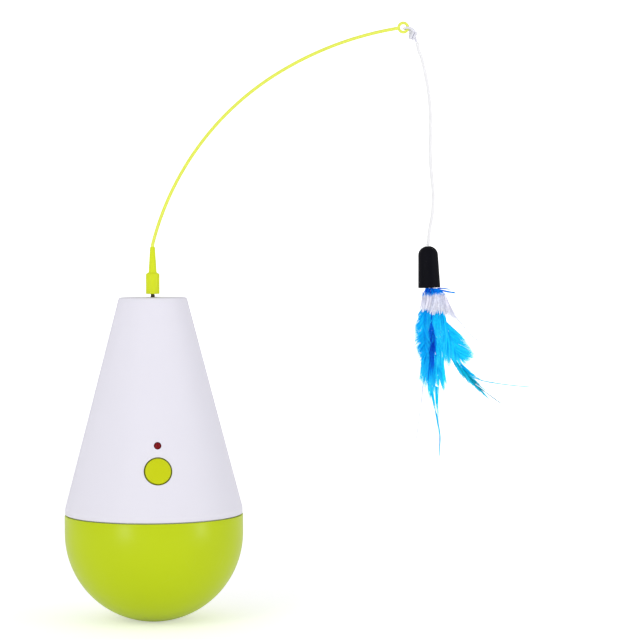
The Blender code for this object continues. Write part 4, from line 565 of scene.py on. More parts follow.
def tube(name: str, line: Sequence[Vector], radius: float, sides: int = 12,
         radii: Sequence[float] | None = None) -> bpy.types.Object:
    """A tube along a line: a bevelled curve that is made a mesh, with closed ends.

    Args:
        name: the piece's name.
        line: the centre line's points.
        radius: the tube's radius.
        sides: faces round it, an even number.
        radii: shares of the radius along the line.

    Returns:
        The tube as a mesh.
    """
    data = bpy.data.curves.new(name, "CURVE")
    data.dimensions = "3D"
    data.bevel_depth = radius
    data.bevel_resolution = max(0, sides // 2 - 2)
    data.use_fill_caps = True
    data.twist_mode = "MINIMUM"
    spline = data.splines.new("POLY")
    spline.points.add(len(line) - 1)
    for number, point in enumerate(line):
        spline.points[number].co = (*point, 1.0)
        spline.points[number].radius = radii[number] if radii else 1.0
    only(linked(name, data))
    bpy.ops.object.convert(target="MESH")
    piece = bpy.context.object
    piece.name = name
    merged(piece)
    return piece


# Finishes

@dataclass(frozen=True)
class Surface:
    """A finish of one material. Colours are linear."""

    name: str

    def fill(self, made: MaterialMaker) -> None:
        """Fill the shader's inputs."""
        raise NotImplementedError

    def material(self) -> bpy.types.Material:
        """The finish's material, built at its first use."""
        found = bpy.data.materials.get(self.name)
        if found is None:
            made = MaterialMaker(self.name)
            self.fill(made)
            found = made.material
        return found


@dataclass(frozen=True)
class Moulded(Surface):
    """Moulded plastic or rubber.

    Wear is the share of scuffs, dust the share of specks, and the low wear is the height under
    which a piece is scuffed by the floor.
    """

    colour: Colour
    roughness: float = 0.30
    grain_size: float = 0.0005
    grain_depth: float = 0.000004
    tint: float = 0.05
    gloss_change: float = 0.08
    wear: float = 0.35
    dust: float = 0.10
    low_wear: float = 0.0
    shine: float = 0.25

    def fill(self, made: MaterialMaker) -> None:
        """Feed the plastic's colour, gloss and grain with the marks on them."""
        body = made.group(Pattern.MOULDED, Color=self.colour, Tint=self.tint, Roughness=self.roughness,
                          Gloss_Change=self.gloss_change, Grain_Size=self.grain_size)
        marks = made.group(Pattern.HANDLING, Scuff_Amount=self.wear, Dust_Amount=self.dust)
        pale = tuple(min(1.0, channel * PALE_SHARE + PALE_LIFT) for channel in self.colour)
        colour = made.mix(made.mix(body["Color"], pale, marks["Scuffs"]), DUST_COLOUR, marks["Dust"])
        rough = made.calc("MULTIPLY_ADD", marks["Scuffs"], SCUFF_ROUGHNESS, body["Roughness"])
        if self.low_wear > 0:
            low = made.ramp(made.axis("Z"), 0.0, self.low_wear, RUBBED_SHARE, 0.0)
            rubbed = made.calc("MULTIPLY", low, made.noise(made.place, 260.0, 4.0))
            colour = made.mix(colour, pale, rubbed)
            rough = made.calc("MULTIPLY_ADD", rubbed, RUBBED_ROUGHNESS, rough)
        grain = made.bump(body["Height"], self.grain_depth)
        made.feed(Base_Color=colour, Roughness=rough,
                  Normal=made.bump(marks["Scuffs"], SCUFF_DEPTH, grain))
        made.fixed(IOR=1.49, Specular_IOR_Level=self.shine)


@dataclass(frozen=True)
class Machined(Surface):
    """Turned, drawn or cast metal with fine lines and a little tarnish."""

    colour: Colour
    tarnish: Colour
    tarnish_amount: float = 0.35
    roughness: float = 0.26
    line_size: float = 0.0003
    line_depth: float = 0.000004

    def fill(self, made: MaterialMaker) -> None:
        """Feed the metal's colour, gloss and lines."""
        body = made.group(Pattern.MACHINED, Color=self.colour, Tarnish=self.tarnish,
                          Tarnish_Amount=self.tarnish_amount, Roughness=self.roughness,
                          Line_Size=self.line_size)
        made.feed(Base_Color=body["Color"], Roughness=body["Roughness"],
                  Normal=made.bump(body["Height"], self.line_depth))
        made.fixed(Metallic=1.0)


@dataclass(frozen=True)
class Strand(Surface):
    """Cord: strands drawn by the attributes that hold the place along and around it, with painted shade in the
    grooves between strands and a faint painted glow for light through the cotton.
    """

    colour: Colour
    # shade is painted shade: the darker colour laid in the grooves between strands
    shade: Colour
    depth: float = 0.00012

    def fill(self, made: MaterialMaker) -> None:
        """Draw two sets of strands that cross, with fibres on them, painted shade in their grooves and a faint
        painted glow.
        """
        steps = made.calc("MULTIPLY", made.attribute("along"), math.tau / BRAID_PITCH)
        around = made.attribute("around")
        phases = [made.calc("MULTIPLY_ADD", around, side * BRAID_PAIRS, steps) for side in (1.0, -1.0)]
        ridges = [made.calc("ABSOLUTE", made.calc("SINE", phase)) for phase in phases]
        rise = made.calc("MULTIPLY_ADD", made.noise(made.place, 5200.0, 2.0), 0.35,
                         made.calc("MULTIPLY", *ridges))
        # painted shade: the low parts of the strands' relief get the darker shade colour
        made.feed(Base_Color=made.mix(self.shade, self.colour, made.ramp(rise, 0.1, 0.7)),
                  Normal=made.bump(rise, self.depth))
        # painted glow: a faint white emission stands for light passing through the thin cotton
        made.fixed(Roughness=0.85, Sheen_Weight=0.3, Sheen_Roughness=0.4, Specular_IOR_Level=0.2,
                   Emission_Color=WHITE_LIGHT, Emission_Strength=0.05)


@dataclass(frozen=True)
class Plume(Surface):
    """Dyed feather: each clump of barbs lies between a dark and a light dye and pales at its tips.

    The glow stands for the light that comes through thin barbs.
    """

    dark: Colour
    light: Colour
    tip: Colour
    glow: float = 0.16
    fibre_depth: float = 0.00003

    def fill(self, made: MaterialMaker) -> None:
        """Feed the dyes, uneven like fibres."""
        colour = made.mix(self.dark, self.light, made.attribute("tone"))
        colour = made.mix(colour, self.tip, made.ramp(made.attribute("reach"), 0.5, 1.0, 0.0, 0.65))
        fibres = made.noise(made.place, 900.0, 3.0)
        colour = made.scaled(colour, made.ramp(fibres, 0.3, 0.7, 0.86, 1.10))
        made.feed(Base_Color=colour, Emission_Color=colour, Normal=made.bump(fibres, self.fibre_depth))
        made.fixed(Roughness=0.7, Specular_IOR_Level=0.08, Emission_Strength=self.glow)


class Finish(Enum):
    """The finishes of the object's own pieces."""

    DOME = Moulded("lime_dome_plastic", (0.530, 0.655, 0.003), 0.30, shine=0.24, wear=0.10, dust=0.01,
                   low_wear=0.0035, tint=0.04, grain_depth=0.000001)
    CASING = Moulded("cone_plastic", (0.803, 0.786, 0.868), 0.50, shine=0.20, wear=0.10, dust=0.02,
                     tint=0.02, grain_depth=0.000002)
    BUTTON = Moulded("button_plastic", (0.585, 0.640, 0.005), 0.34, shine=0.15, wear=0.1, dust=0.01,
                     grain_depth=0.000003)
    LAMP = Moulded("lamp_epoxy", (0.20, 0.001, 0.004), 0.20, shine=0.15, wear=0.0, dust=0.0, tint=0.25)
    SOFT_LIME = Moulded("wand_plastic", (0.690, 0.780, 0.019), 0.42, shine=0.15, wear=0.15, dust=0.02,
                        grain_size=0.0004, grain_depth=0.000006)
    RUBBER = Moulded("cap_rubber", (0.0036, 0.0037, 0.0066), 0.55, grain_size=0.0006, shine=0.06,
                     grain_depth=0.00004, wear=0.05, dust=0.01, tint=0.3, gloss_change=0.2)
    ROD = Moulded("rod_plastic", (0.800, 0.860, 0.120), 0.42, shine=0.15, wear=0.15, dust=0.02,
                  grain_size=0.0004, grain_depth=0.000006)
    # the second colour of each cord finish is painted shade between its strands, darker on the knot
    CORD = Strand("cord_cotton", (0.93, 0.93, 0.94), (0.80, 0.80, 0.83))
    KNOT = Strand("knot_cotton", (0.88, 0.88, 0.92), (0.70, 0.70, 0.78))

    def material(self) -> bpy.types.Material:
        """The finish's material."""
        return self.value.material()


# Shapes that several classes use

def arc_profile(height: float, radius: float, start: float, end: float, steps: int) -> list[ProfilePoint]:
    """Part of a circle whose centre lies on the Z axis.

    Args:
        height: the centre's height.
        radius: the circle's radius.
        start: the first angle above level, in radians.
        end: the last angle.
        steps: stretches between them.

    Returns:
        Radius and height of each point.
    """
    angles = (start + (end - start) * step / steps for step in range(steps + 1))
    return [(max(0.0, radius * math.cos(angle)), height + radius * math.sin(angle)) for angle in angles]


def divided(points: Sequence[ProfilePoint], longest: float) -> list[ProfilePoint]:
    """Split the long stretches of a profile so that its faces stay small.

    Args:
        points: the profile.
        longest: the length that no stretch passes.

    Returns:
        The profile with more points.
    """
    result = [points[0]]
    for (near, low), (far, high) in zip(points, points[1:]):
        parts = max(1, math.ceil(math.hypot(far - near, high - low) / longest))
        result += [(near + (far - near) * part / parts, low + (high - low) * part / parts)
                   for part in range(1, parts + 1)]
    return result


def round_bar(name: str, radius: float, low: float, high: float, place: Matrix = Matrix(),
              sides: int = 48) -> bpy.types.Object:
    """A bar or a cutter: a cylinder added at its size.

    Args:
        name: the piece's name.
        radius: its radius.
        low: its lower end.
        high: its upper end.
        place: where its own axis lies.
        sides: faces round it.

    Returns:
        The bar.
    """
    bpy.ops.object.select_all(action="DESELECT")
    bpy.ops.mesh.primitive_cylinder_add(vertices=sides, radius=radius, depth=high - low,
                                        location=(0, 0, (low + high) / 2))
    return placed(named(name), place)


def block(name: str, low: Point, high: Point, place: Matrix = Matrix(),
          edge: float = 0.0) -> bpy.types.Object:
    """A block or a cutter: a cube added between two corners.

    Args:
        name: the piece's name.
        low: its lower corner.
        high: its upper corner.
        place: where its own axes lie.
        edge: width of the bevel that rounds its edges.

    Returns:
        The block.
    """
    middle = [(a + b) / 2 for a, b in zip(low, high)]
    bpy.ops.object.select_all(action="DESELECT")
    bpy.ops.mesh.primitive_cube_add(size=1.0, location=middle)
    bpy.context.object.scale = [b - a for a, b in zip(low, high)]
    cube = named(name)
    if edge > 0:
        apply_modifier(cube, "BEVEL", {
            "width": edge, "segments": 2, "limit_method": "ANGLE", "angle_limit": BEVEL_ANGLE,
            "use_clamp_overlap": True, "harden_normals": False})
    return placed(cube, place)


def follow(piece: bpy.types.Object, line: Sequence[Vector], relief: Callable[[float, float], float]) -> None:
    """Mark each point with its place along and around a line, and raise it by a relief.

    Args:
        piece: a tube whose line lies in a plane y = constant.
        line: its centre line.
        relief: share of the radius at a length and an angle.
    """
    tree = kdtree.KDTree(len(line))
    lengths = [0.0]
    for number, point in enumerate(line):
        tree.insert(point, number)
        if number:
            lengths.append(lengths[-1] + (point - line[number - 1]).length)
    tree.balance()
    mesh = piece.data
    marks = [mesh.attributes.new(label, "FLOAT", "POINT") for label in ("along", "around")]
    last = len(line) - 1
    for vertex in mesh.vertices:
        _, number, _ = tree.find(vertex.co)
        way = (line[min(number + 1, last)] - line[max(number - 1, 0)]).normalized()
        side = way.cross(Y_AXIS).normalized()
        off = vertex.co - line[number]
        off -= way * off.dot(way)
        spot = (lengths[number], math.atan2(off.y, off.dot(side)))
        for mark, value in zip(marks, spot):
            mark.data[vertex.index].value = value
        vertex.co = vertex.co + off * (relief(*spot) - 1)


def level_way(angle: float) -> Vector:
    """A direction in the plane y = 0 at an angle above level."""
    return Vector((math.cos(angle), 0.0, math.sin(angle)))


def point_along(points: Sequence[ProfilePoint], share: float) -> Vector:
    """A point in the plane y = 0 at a share of a line's stretches.

    Args:
        points: the line, across and up in millimetres.
        share: the share, from 0 at its start to 1 at its end.

    Returns:
        The point in metres.
    """
    place = min(1.0, max(0.0, share)) * (len(points) - 1)
    number = min(int(place), len(points) - 2)
    (near, low), (far, high) = points[number], points[number + 1]
    part = place - number
    return Vector((near + (far - near) * part, 0.0, low + (high - low) * part)) / 1000


@dataclass(frozen=True)
class Levels:
    """Heights and radii that the pieces share, read from the frame."""

    seam: float
    top: float
    radius: float
    gap: float = 0.0006

    @classmethod
    def from_frame(cls) -> "Levels":
        """Read them from the two shells' boxes."""
        low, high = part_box("base_shell")
        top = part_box("upper_casing")[1][2]
        return cls(seam=high[2] + cls.gap / 2, top=top, radius=(high[0] - low[0]) / 2)


@dataclass
class Base:
    """The lime dome: its shell, the boss of the ballast's screw and the bayonet's lugs."""

    levels: Levels
    foot_radius: float = 0.0070
    wall: float = 0.0020
    band: float = 0.0100
    rim_round: float = 0.0004
    floor: float = 0.0022
    sides: int = 160
    lug_count: int = 3
    lug_first: float = math.radians(30)
    lug_size: Point = (0.0014, 0.0080, 0.0018)
    lug_round: float = 0.0003
    lug_top: float = 0.0035
    boss_radius: float = 0.0030
    boss_top: float = 0.0080

    @classmethod
    def lug_angles(cls) -> list[float]:
        """Where the bayonet's lugs lie about the Z axis."""
        return [cls.lug_first + math.tau * number / cls.lug_count for number in range(cls.lug_count)]

    def shell(self) -> bpy.types.Object:
        """The dome with its wall, turned in one profile."""
        radius, inner = self.levels.radius, self.levels.radius - self.wall
        rim = self.levels.seam - self.levels.gap / 2
        centre = self.levels.seam - self.band
        foot = -math.acos(self.foot_radius / radius)
        outer = [(0.0, 0.0)] + arc_profile(centre, radius, foot, 0.0, 44)
        outer[1] = (outer[1][0], 0.0)
        edge = filleted([(radius, centre, 0.0), (radius, rim, self.rim_round),
                         (inner, rim, self.rim_round / 2), (inner, centre, 0.0)], 3)
        hollow = arc_profile(centre, inner, 0.0, -math.pi / 2, 24)
        hollow = [point for point in hollow if point[1] > self.floor]
        return turned("dome", outer + edge[1:] + hollow[1:] + [(0.0, self.floor)], self.sides)

    def build(self) -> None:
        """Build and dress the dome."""
        dome = self.shell()
        inner = self.levels.radius - self.wall
        top = self.levels.seam - self.lug_top
        reach, width, height = self.lug_size
        for angle in self.lug_angles():
            lug = block("lug", (inner - reach, -width / 2, top - height),
                        (inner + self.wall / 2, width / 2, top), Matrix.Rotation(angle, 4, "Z"),
                        self.lug_round)
            cut(dome, lug, "UNION")
        cut(dome, round_bar("screw_boss", self.boss_radius, self.floor / 2, self.boss_top), "UNION")
        smooth(dome)
        dress(dome, Finish.DOME, "base", "lime_gloss", ["base_shell"])


@dataclass
class Casing:
    """The white cone with its bayonet skirt, its button and its lamp.

    Heights of the button and the lamp are measured from the cone's wall, outwards. Over is how far
    a cutter passes what it cuts.
    """

    levels: Levels
    skirt_inset: float = 0.0003
    skirt_height: float = 0.0034
    skirt_blend: float = 0.0030
    top_radius: float = 0.0183
    top_blend: float = 0.0014
    wall: float = 0.0020
    spigot_radius: float = 0.0457
    spigot_wall: float = 0.0018
    spigot_depth: float = 0.0085
    edge_round: float = 0.0003
    fine_round: float = 0.0002
    ceiling_round: float = 0.0005
    slot_half: float = 0.0043
    slot_height: float = 0.0024
    slot_play: float = 0.0003
    slot_turn: float = math.radians(20)
    bush_hole: float = 0.0033
    bush_boss: float = 0.0055
    bush_length: float = 0.0080
    button_rise: float = 0.0268
    button_radius: float = 0.00678
    button_hole: float = 0.00745
    button_proud: float = 0.0005
    button_crown: float = 0.0004
    crown_round: float = 0.004
    button_round: float = 0.0007
    button_skirt: float = -0.0032
    flange_radius: float = 0.0086
    flange_top: float = -0.0045
    flange_low: float = -0.0056
    stem_radius: float = 0.0020
    stem_low: float = -0.0070
    stem_step: float = 0.0001
    collar_wall: float = 0.0018
    collar_depth: float = 0.0040
    collar_top: float = -0.0015
    lamp_rise: float = 0.0131
    lamp_radius: float = 0.0018
    lamp_hole: float = 0.0020
    lamp_proud: float = 0.0004
    lens_ball: float = 1.2
    lens_start: float = math.radians(80)
    lens_end: float = math.radians(34)
    lamp_flange: float = 0.0023
    lamp_flange_rise: float = 0.0009
    lamp_body_rise: float = 0.0010
    lamp_low: float = -0.0046
    leg_radius: float = 0.00025
    leg_apart: float = 0.00125
    leg_length: float = 0.0022
    leg_seat: float = 0.0005
    over: float = 0.001
    sides: int = 160

    def __post_init__(self) -> None:
        """Work out the flank and the places of the button and the lamp on it."""
        self.skirt_z = self.levels.seam + self.skirt_height
        self.skirt_radius = self.levels.radius - self.skirt_inset
        run = self.skirt_radius - self.top_radius
        self.flank_angle = math.atan(run / (self.levels.top - self.skirt_z))
        button_z = self.levels.seam + self.button_rise
        self.panel = (Matrix.Translation((0.0, -self.flank_radius(button_z), button_z))
                      @ Matrix.Rotation(math.pi / 2 - self.flank_angle, 4, "X"))
        lamp_up = self.lamp_rise / math.cos(self.flank_angle)
        self.lamp_place = self.panel @ Matrix.Translation((0.0, lamp_up, 0.0))

    def flank_radius(self, height: float) -> float:
        """Outer radius of the cone at a height."""
        return self.skirt_radius - (height - self.skirt_z) * math.tan(self.flank_angle)

    def shell(self) -> bpy.types.Object:
        """The cone with its wall and spigot, turned in one closed profile."""
        face = self.levels.seam + self.levels.gap / 2
        top, low = self.levels.top, self.levels.seam - self.spigot_depth
        ceiling = top - self.wall
        across = self.wall / math.cos(self.flank_angle)
        spigot_inner = self.spigot_radius - self.spigot_wall
        ledge = self.skirt_z + self.spigot_wall
        profile = filleted([
            (self.bush_hole, top, 0.0),
            (self.flank_radius(top), top, self.top_blend),
            (self.skirt_radius, self.skirt_z, self.skirt_blend),
            (self.skirt_radius, face, self.fine_round),
            (self.spigot_radius, face, 0.0),
            (self.spigot_radius, low, self.edge_round),
            (spigot_inner, low, self.edge_round),
            (spigot_inner, self.skirt_z, 0.0),
            (self.flank_radius(ledge) - across, ledge, 0.0),
            (self.flank_radius(ceiling) - across, ceiling, self.ceiling_round),
            (self.bush_boss, ceiling, 0.0),
            (self.bush_boss, top - self.bush_length, 0.0),
            (self.bush_hole, top - self.bush_length, 0.0),
            (self.bush_hole, top, 0.0)], 5)
        return turned("cone", divided(profile, 0.0060), self.sides)

    def slot(self, angle: float) -> bpy.types.Object:
        """A cutter for one bayonet slot: the locked end, and steps back to the way in.

        Args:
            angle: where the locked end lies about the Z axis.

        Returns:
            The cutter.
        """
        inside = self.spigot_radius - self.spigot_wall - self.over
        lock = self.levels.seam - Base.lug_top + self.slot_play
        corner = (self.spigot_radius + self.over, self.slot_half, lock)
        floor = lock - self.slot_height
        slot = block("slot", (inside, -self.slot_half, floor), corner, Matrix.Rotation(angle, 4, "Z"))
        for step in (1 / 3, 2 / 3, 1.0):
            back = Matrix.Rotation(angle - self.slot_turn * step, 4, "Z")
            low = self.levels.seam - self.spigot_depth - self.over if step == 1.0 else floor
            cut(slot, block("slot_step", (inside, -self.slot_half, low), corner, back), "UNION")
        return slot

    def build_shell(self) -> None:
        """Build and dress the cone."""
        cone = self.shell()
        collar = round_bar("collar", self.button_hole + self.collar_wall, -self.collar_depth,
                           self.collar_top, self.panel)
        cut(cone, collar, "UNION")
        cut(cone, round_bar("button_hole", self.button_hole, -self.collar_depth - self.over,
                            2 * self.over, self.panel, 64))
        cut(cone, round_bar("lamp_hole", self.lamp_hole, -self.collar_depth, 2 * self.over,
                            self.lamp_place, 32))
        for angle in Base.lug_angles():
            cut(cone, self.slot(angle))
        smooth(cone)
        dress(cone, Finish.CASING, "casing", "casing_white", ["upper_casing"])

    def build_button(self) -> None:
        """Build and dress the button with its flange and stem."""
        top = self.button_proud + self.button_crown
        profile = filleted([
            (0.0, top, 0.0),
            (self.button_radius / 2, top - self.button_crown / 4, self.crown_round),
            (self.button_radius, self.button_proud, self.button_round),
            (self.button_radius, self.button_skirt, self.fine_round),
            (self.flange_radius, self.flange_top, 0.0),
            (self.flange_radius, self.flange_low, 0.0),
            (self.stem_radius, self.flange_low - self.stem_step, 0.0),
            (self.stem_radius, self.stem_low, 0.0),
            (0.0, self.stem_low, 0.0)])
        button = placed(turned("button", profile), self.panel)
        smooth(button)
        dress(button, Finish.BUTTON, "button", "lime_button", ["power_button"])

    def build_lamp(self) -> None:
        """Build and dress the lamp: a lens with a flange and two legs."""
        radius, low = self.lamp_radius, self.lamp_low
        ball = radius * self.lens_ball
        lens = arc_profile(self.lamp_proud - ball, ball, self.lens_start, self.lens_end, 10)
        profile = [(0.0, self.lamp_proud)] + [(min(radius, across), up) for across, up in lens]
        profile += [(radius, low + self.lamp_body_rise), (self.lamp_flange, low + self.lamp_flange_rise),
                    (self.lamp_flange, low), (0.0, low)]
        lamp = placed(turned("lamp", profile, 48), self.lamp_place)
        for side in (-1, 1):
            leg = self.lamp_place @ Matrix.Translation((side * self.leg_apart, 0.0, 0.0))
            bar = round_bar("lamp_leg", self.leg_radius, low - self.leg_length, low + self.leg_seat, leg, 12)
            cut(lamp, bar, "UNION")
        smooth(lamp)
        dress(lamp, Finish.LAMP, "casing", "led_red", ["led"])

    def build(self) -> None:
        """Build the cone, the button and the lamp."""
        self.build_shell()
        self.build_button()
        self.build_lamp()


@dataclass
class Wand:
    """The lime connector on the shaft and the bent rod with its eye."""

    levels: Levels
    sleeve_rise: float = 0.0018
    sleeve_radius: float = 0.00370
    sleeve_length: float = 0.0108
    sleeve_round: float = 0.0007
    socket_radius: float = 0.0016
    socket_depth: float = 0.0070
    socket_round: float = 0.0002
    foot_round: float = 0.0003
    shoulder: float = 0.0008
    neck_radius: float = 0.00220
    neck_tip: float = 0.00135
    neck_length: float = 0.0136
    neck_round: float = 0.0006
    tip_round: float = 0.0002
    rod_radius: float = 0.00096
    rod_grip: float = 0.0080
    rod_play: float = 0.00003
    rod_seat: float = 0.0001
    rod_smooth: float = math.radians(50)
    lean: float = math.radians(14.65)
    middle_lean: float = math.radians(57.9)
    end_lean: float = math.radians(80.6)
    neck_bend: float = 0.0080
    bend: float = 0.1523
    tip_bend: float = 0.1831
    eye_radius: float = 0.0025
    eye_wire: float = 0.0008
    eye_angle: float = math.radians(7)

    def __post_init__(self) -> None:
        """Work out the rod's line and the eye's centre."""
        self.low = self.levels.top + self.sleeve_rise
        self.neck_low = self.low + self.sleeve_length + self.shoulder
        self.neck_top = self.neck_low + self.neck_length
        self.line = [Vector((0, 0, self.neck_top - self.rod_grip)), Vector((0, 0, self.neck_top))]
        for radius, first, last, steps in (
                (self.neck_bend, 0.0, self.lean, 8),
                (self.bend, self.lean, self.middle_lean, 66),
                (self.tip_bend, self.middle_lean, self.end_lean, 36)):
            self.line += self.lean_arc(self.line[-1], radius, first, last, steps)
        self.eye = self.line[-1] + level_way(self.eye_angle) * self.eye_radius

    @staticmethod
    def lean_arc(start: Vector, radius: float, first: float, last: float, steps: int) -> list[Vector]:
        """Points of a bend that leans from one angle off upright to another."""
        centre = start + Vector((radius * math.cos(first), 0.0, -radius * math.sin(first)))
        return [centre + Vector((-radius * math.cos(lean), 0.0, radius * math.sin(lean)))
                for lean in (first + (last - first) * step / steps for step in range(1, steps + 1))]

    def build_connector(self) -> None:
        """Build and dress the connector, with its socket and the rod's bore."""
        socket_top = self.low + self.socket_depth
        bore_low = self.neck_top - self.rod_grip
        profile = filleted([
            (0.0, socket_top, 0.0),
            (self.socket_radius, socket_top, 0.0),
            (self.socket_radius, self.low, self.socket_round),
            (self.sleeve_radius, self.low, self.foot_round),
            (self.sleeve_radius, self.low + self.sleeve_length, self.sleeve_round),
            (self.neck_radius, self.neck_low, self.neck_round),
            (self.neck_tip, self.neck_top, self.tip_round),
            (self.rod_radius, self.neck_top, 0.0),
            (self.rod_radius, bore_low, 0.0),
            (0.0, bore_low, 0.0)], 5)
        sleeve = turned("connector", divided(profile, 0.0030), 64)
        smooth(sleeve)
        dress(sleeve, Finish.SOFT_LIME, "wand", "lime_soft", ["wand_connector"])

    def build_rod(self) -> None:
        """Build and dress the rod, joined to its eye."""
        start = self.line[0] + Vector((0.0, 0.0, self.rod_seat))
        rod = tube("rod", [start, *self.line[1:]], self.rod_radius - self.rod_play, 20)
        bpy.ops.object.select_all(action="DESELECT")
        bpy.ops.mesh.primitive_torus_add(
            major_radius=self.eye_radius, minor_radius=self.eye_wire, major_segments=56,
            minor_segments=20, location=self.eye, rotation=(math.pi / 2, 0, 0))
        cut(rod, named("eye"), "UNION")
        smooth(rod, self.rod_smooth)
        dress(rod, Finish.ROD, "wand", "lime_soft", ["wand_rod"])

    def build(self) -> None:
        """Build the connector and the rod."""
        self.build_connector()
        self.build_rod()


# The free cord's line, from its top: across and up, in metres
CORD_OFFSETS = (
    (0.0000, 0.0000), (0.0006, -0.0035), (0.0025, -0.0083), (0.0046, -0.0176), (0.0064, -0.0283),
    (0.0071, -0.0391), (0.0071, -0.0492), (0.0070, -0.0592), (0.0073, -0.0668), (0.0080, -0.0746),
    (0.0086, -0.0823), (0.0081, -0.0923), (0.0067, -0.1000), (0.0055, -0.1097))

# The knot's loop through the eye and its way out, in millimetres from the eye's centre
KNOT_LOOP = ((6.3, 0.0, -3.4), (6.0, -0.6, -1.9), (4.6, -1.1, -0.8), (2.5, -1.65, -0.2),
             (0.3, 0.0, -0.5), (2.6, 1.65, -0.9), (4.4, 1.0, -2.0), (4.6, 0.2, -3.6))
KNOT_LEAVE = ((6.2, 0.6, -4.4), (6.7, 0.3, -5.9))


@dataclass
class Tether:
    """The limp cord with its knot: a strand through the eye, wraps that close it and the free cord."""

    eye: Vector
    eye_radius: float
    cord_radius: float = 0.00095
    cord_step: float = 0.00035
    strand_radius: float = 0.00066
    strand_step: float = 0.0004
    core_share: float = 1.3
    loop_length: float = 0.0050
    loop_angle: float = math.radians(-43)
    knot_angle: float = math.radians(-58)
    knot_half: float = 0.0030
    wraps: float = 2.2
    wrap_steps: int = 24
    wrap_angle: float = math.radians(-15)
    wrap_centre: Point = (0.0051, 0.0, -0.0042)
    wrap_half: float = 0.0018
    wrap_radius: float = 0.0020
    wrap_taper: float = 0.0004
    wrap_flat: float = 0.75
    seat: float = 0.0003
    knob: float = 0.0009
    knob_steps: tuple[float, float] = (0.95, 0.6)
    knob_radii: tuple[float, ...] = (0.6, 1.0, 1.15, 1.15, 1.15)
    soft_angle: float = math.radians(80)

    def __post_init__(self) -> None:
        """Work out the free cord's line."""
        self.knot_way = level_way(self.knot_angle)
        knot = self.eye + level_way(self.loop_angle) * (self.eye_radius + self.loop_length)
        self.top = knot + self.knot_way * (self.knot_half + self.seat + self.knob)
        points = [self.top + Vector((x, 0.0, z)) for x, z in CORD_OFFSETS]
        self.line = smooth_line(points, self.cord_step)
        self.end = points[-1]

    @staticmethod
    def weave(length: float, angle: float) -> float:
        """Relief of a braided strand: two sets of yarns that cross."""
        turns = math.tau * length / BRAID_PITCH
        first = abs(math.sin(BRAID_PAIRS * angle + turns))
        second = abs(math.sin(BRAID_PAIRS * angle - turns))
        return 0.90 + 0.11 * max(first, second) * (0.6 + 0.4 * min(first, second))

    def build_cord(self) -> bpy.types.Object:
        """Build and dress the free cord, with the small knot that it turns on.

        Returns:
            The cord.
        """
        line = [self.top - self.knot_way * self.knob * part for part in self.knob_steps] + self.line
        radii = [*self.knob_radii] + [1.0] * (len(line) - len(self.knob_radii))
        cord = tube("cord", line, self.cord_radius, 16, radii)
        follow(cord, line, self.weave)
        smooth(cord, self.soft_angle)
        return dress(cord, Finish.CORD, "string", "cord_white", ["lure_string"])

    def wrap_line(self, middle: Vector, way: Vector) -> list[Vector]:
        """The wraps' line: turns that bulge in their middle.

        Args:
            middle: the wraps' centre.
            way: the direction that they advance in.

        Returns:
            The line's points.
        """
        side = way.cross(Y_AXIS).normalized()
        steps = round(self.wraps * self.wrap_steps)
        line = []
        for share in (step / steps for step in range(steps + 1)):
            angle = math.tau * self.wraps * share
            bulge = self.wrap_radius - self.wrap_taper * (2 * share - 1) ** 2
            line.append(middle + way * self.wrap_half * (2 * share - 1) + side * math.cos(angle) * bulge
                        + Y_AXIS * math.sin(angle) * bulge * self.wrap_flat)
        return line

    def build_knot(self) -> None:
        """Build and dress the loop through the eye, the wraps that close it and the way out."""
        loop = [self.eye + Vector(point) / 1000 for point in KNOT_LOOP]
        leave = [self.eye + Vector(point) / 1000 for point in KNOT_LEAVE]
        leave.append(self.top - self.knot_way * (self.knob + self.seat))
        middle = self.eye + Vector(self.wrap_centre)
        way = level_way(self.wrap_angle)
        core = [middle - way * self.wrap_half, middle, middle + way * self.wrap_half]
        lines = {"knot_loop": smooth_line(loop, self.strand_step),
                 "knot_wraps": self.wrap_line(middle, way),
                 "knot_leave": smooth_line(leave, self.strand_step)}
        parts = [tube(name, line, self.strand_radius) for name, line in lines.items()]
        parts.append(tube("knot_core", core, self.strand_radius * self.core_share))
        knot = joined(parts, "knot")
        smooth(knot, self.soft_angle)
        dress(knot, Finish.KNOT, "knot", "cord_white", ["string_knot"])

    def build(self) -> bpy.types.Object:
        """Build the knot and the cord, and return the cord."""
        self.build_knot()
        return self.build_cord()


@dataclass(frozen=True)
class Tuft:
    """Barbs that start along one line and end along another, in millimetres from the cap's mouth.

    Bulge is the bow of a barb as a share of its length, ragged the share by which clumps fall
    short, and the tone runs from the dark dye at 0 to the light one at 1.
    """

    roots: tuple[ProfilePoint, ...]
    tips: tuple[ProfilePoint, ...]
    count: int
    width: float
    bulge: float
    ragged: float
    tone: tuple[float, float]


@dataclass(frozen=True)
class FeatherShape:
    """One feather: its dye, the line of its quill in millimetres, and its tufts."""

    plume: Plume
    slot: str
    quill: tuple[ProfilePoint, ...]
    tufts: tuple[Tuft, ...]


BRIGHT = Plume("plume_bright_blue", (0.000, 0.260, 0.760), (0.005, 0.560, 0.960), (0.020, 0.680, 1.000))
NAVY = Plume("plume_dark_blue", (0.001, 0.045, 0.520), (0.000, 0.260, 0.930), (0.000, 0.480, 0.980))
CYAN = Plume("plume_cyan", (0.000, 0.400, 0.850), (0.012, 0.740, 1.000), (0.060, 0.820, 1.000))
TEAL = Plume("plume_teal", (0.004, 0.080, 0.150), (0.000, 0.600, 0.850), (0.060, 0.720, 0.940))
WHITE = Plume("plume_white", (0.750, 0.790, 0.930), (0.890, 0.870, 0.970), (0.930, 0.940, 1.000), 0.05)

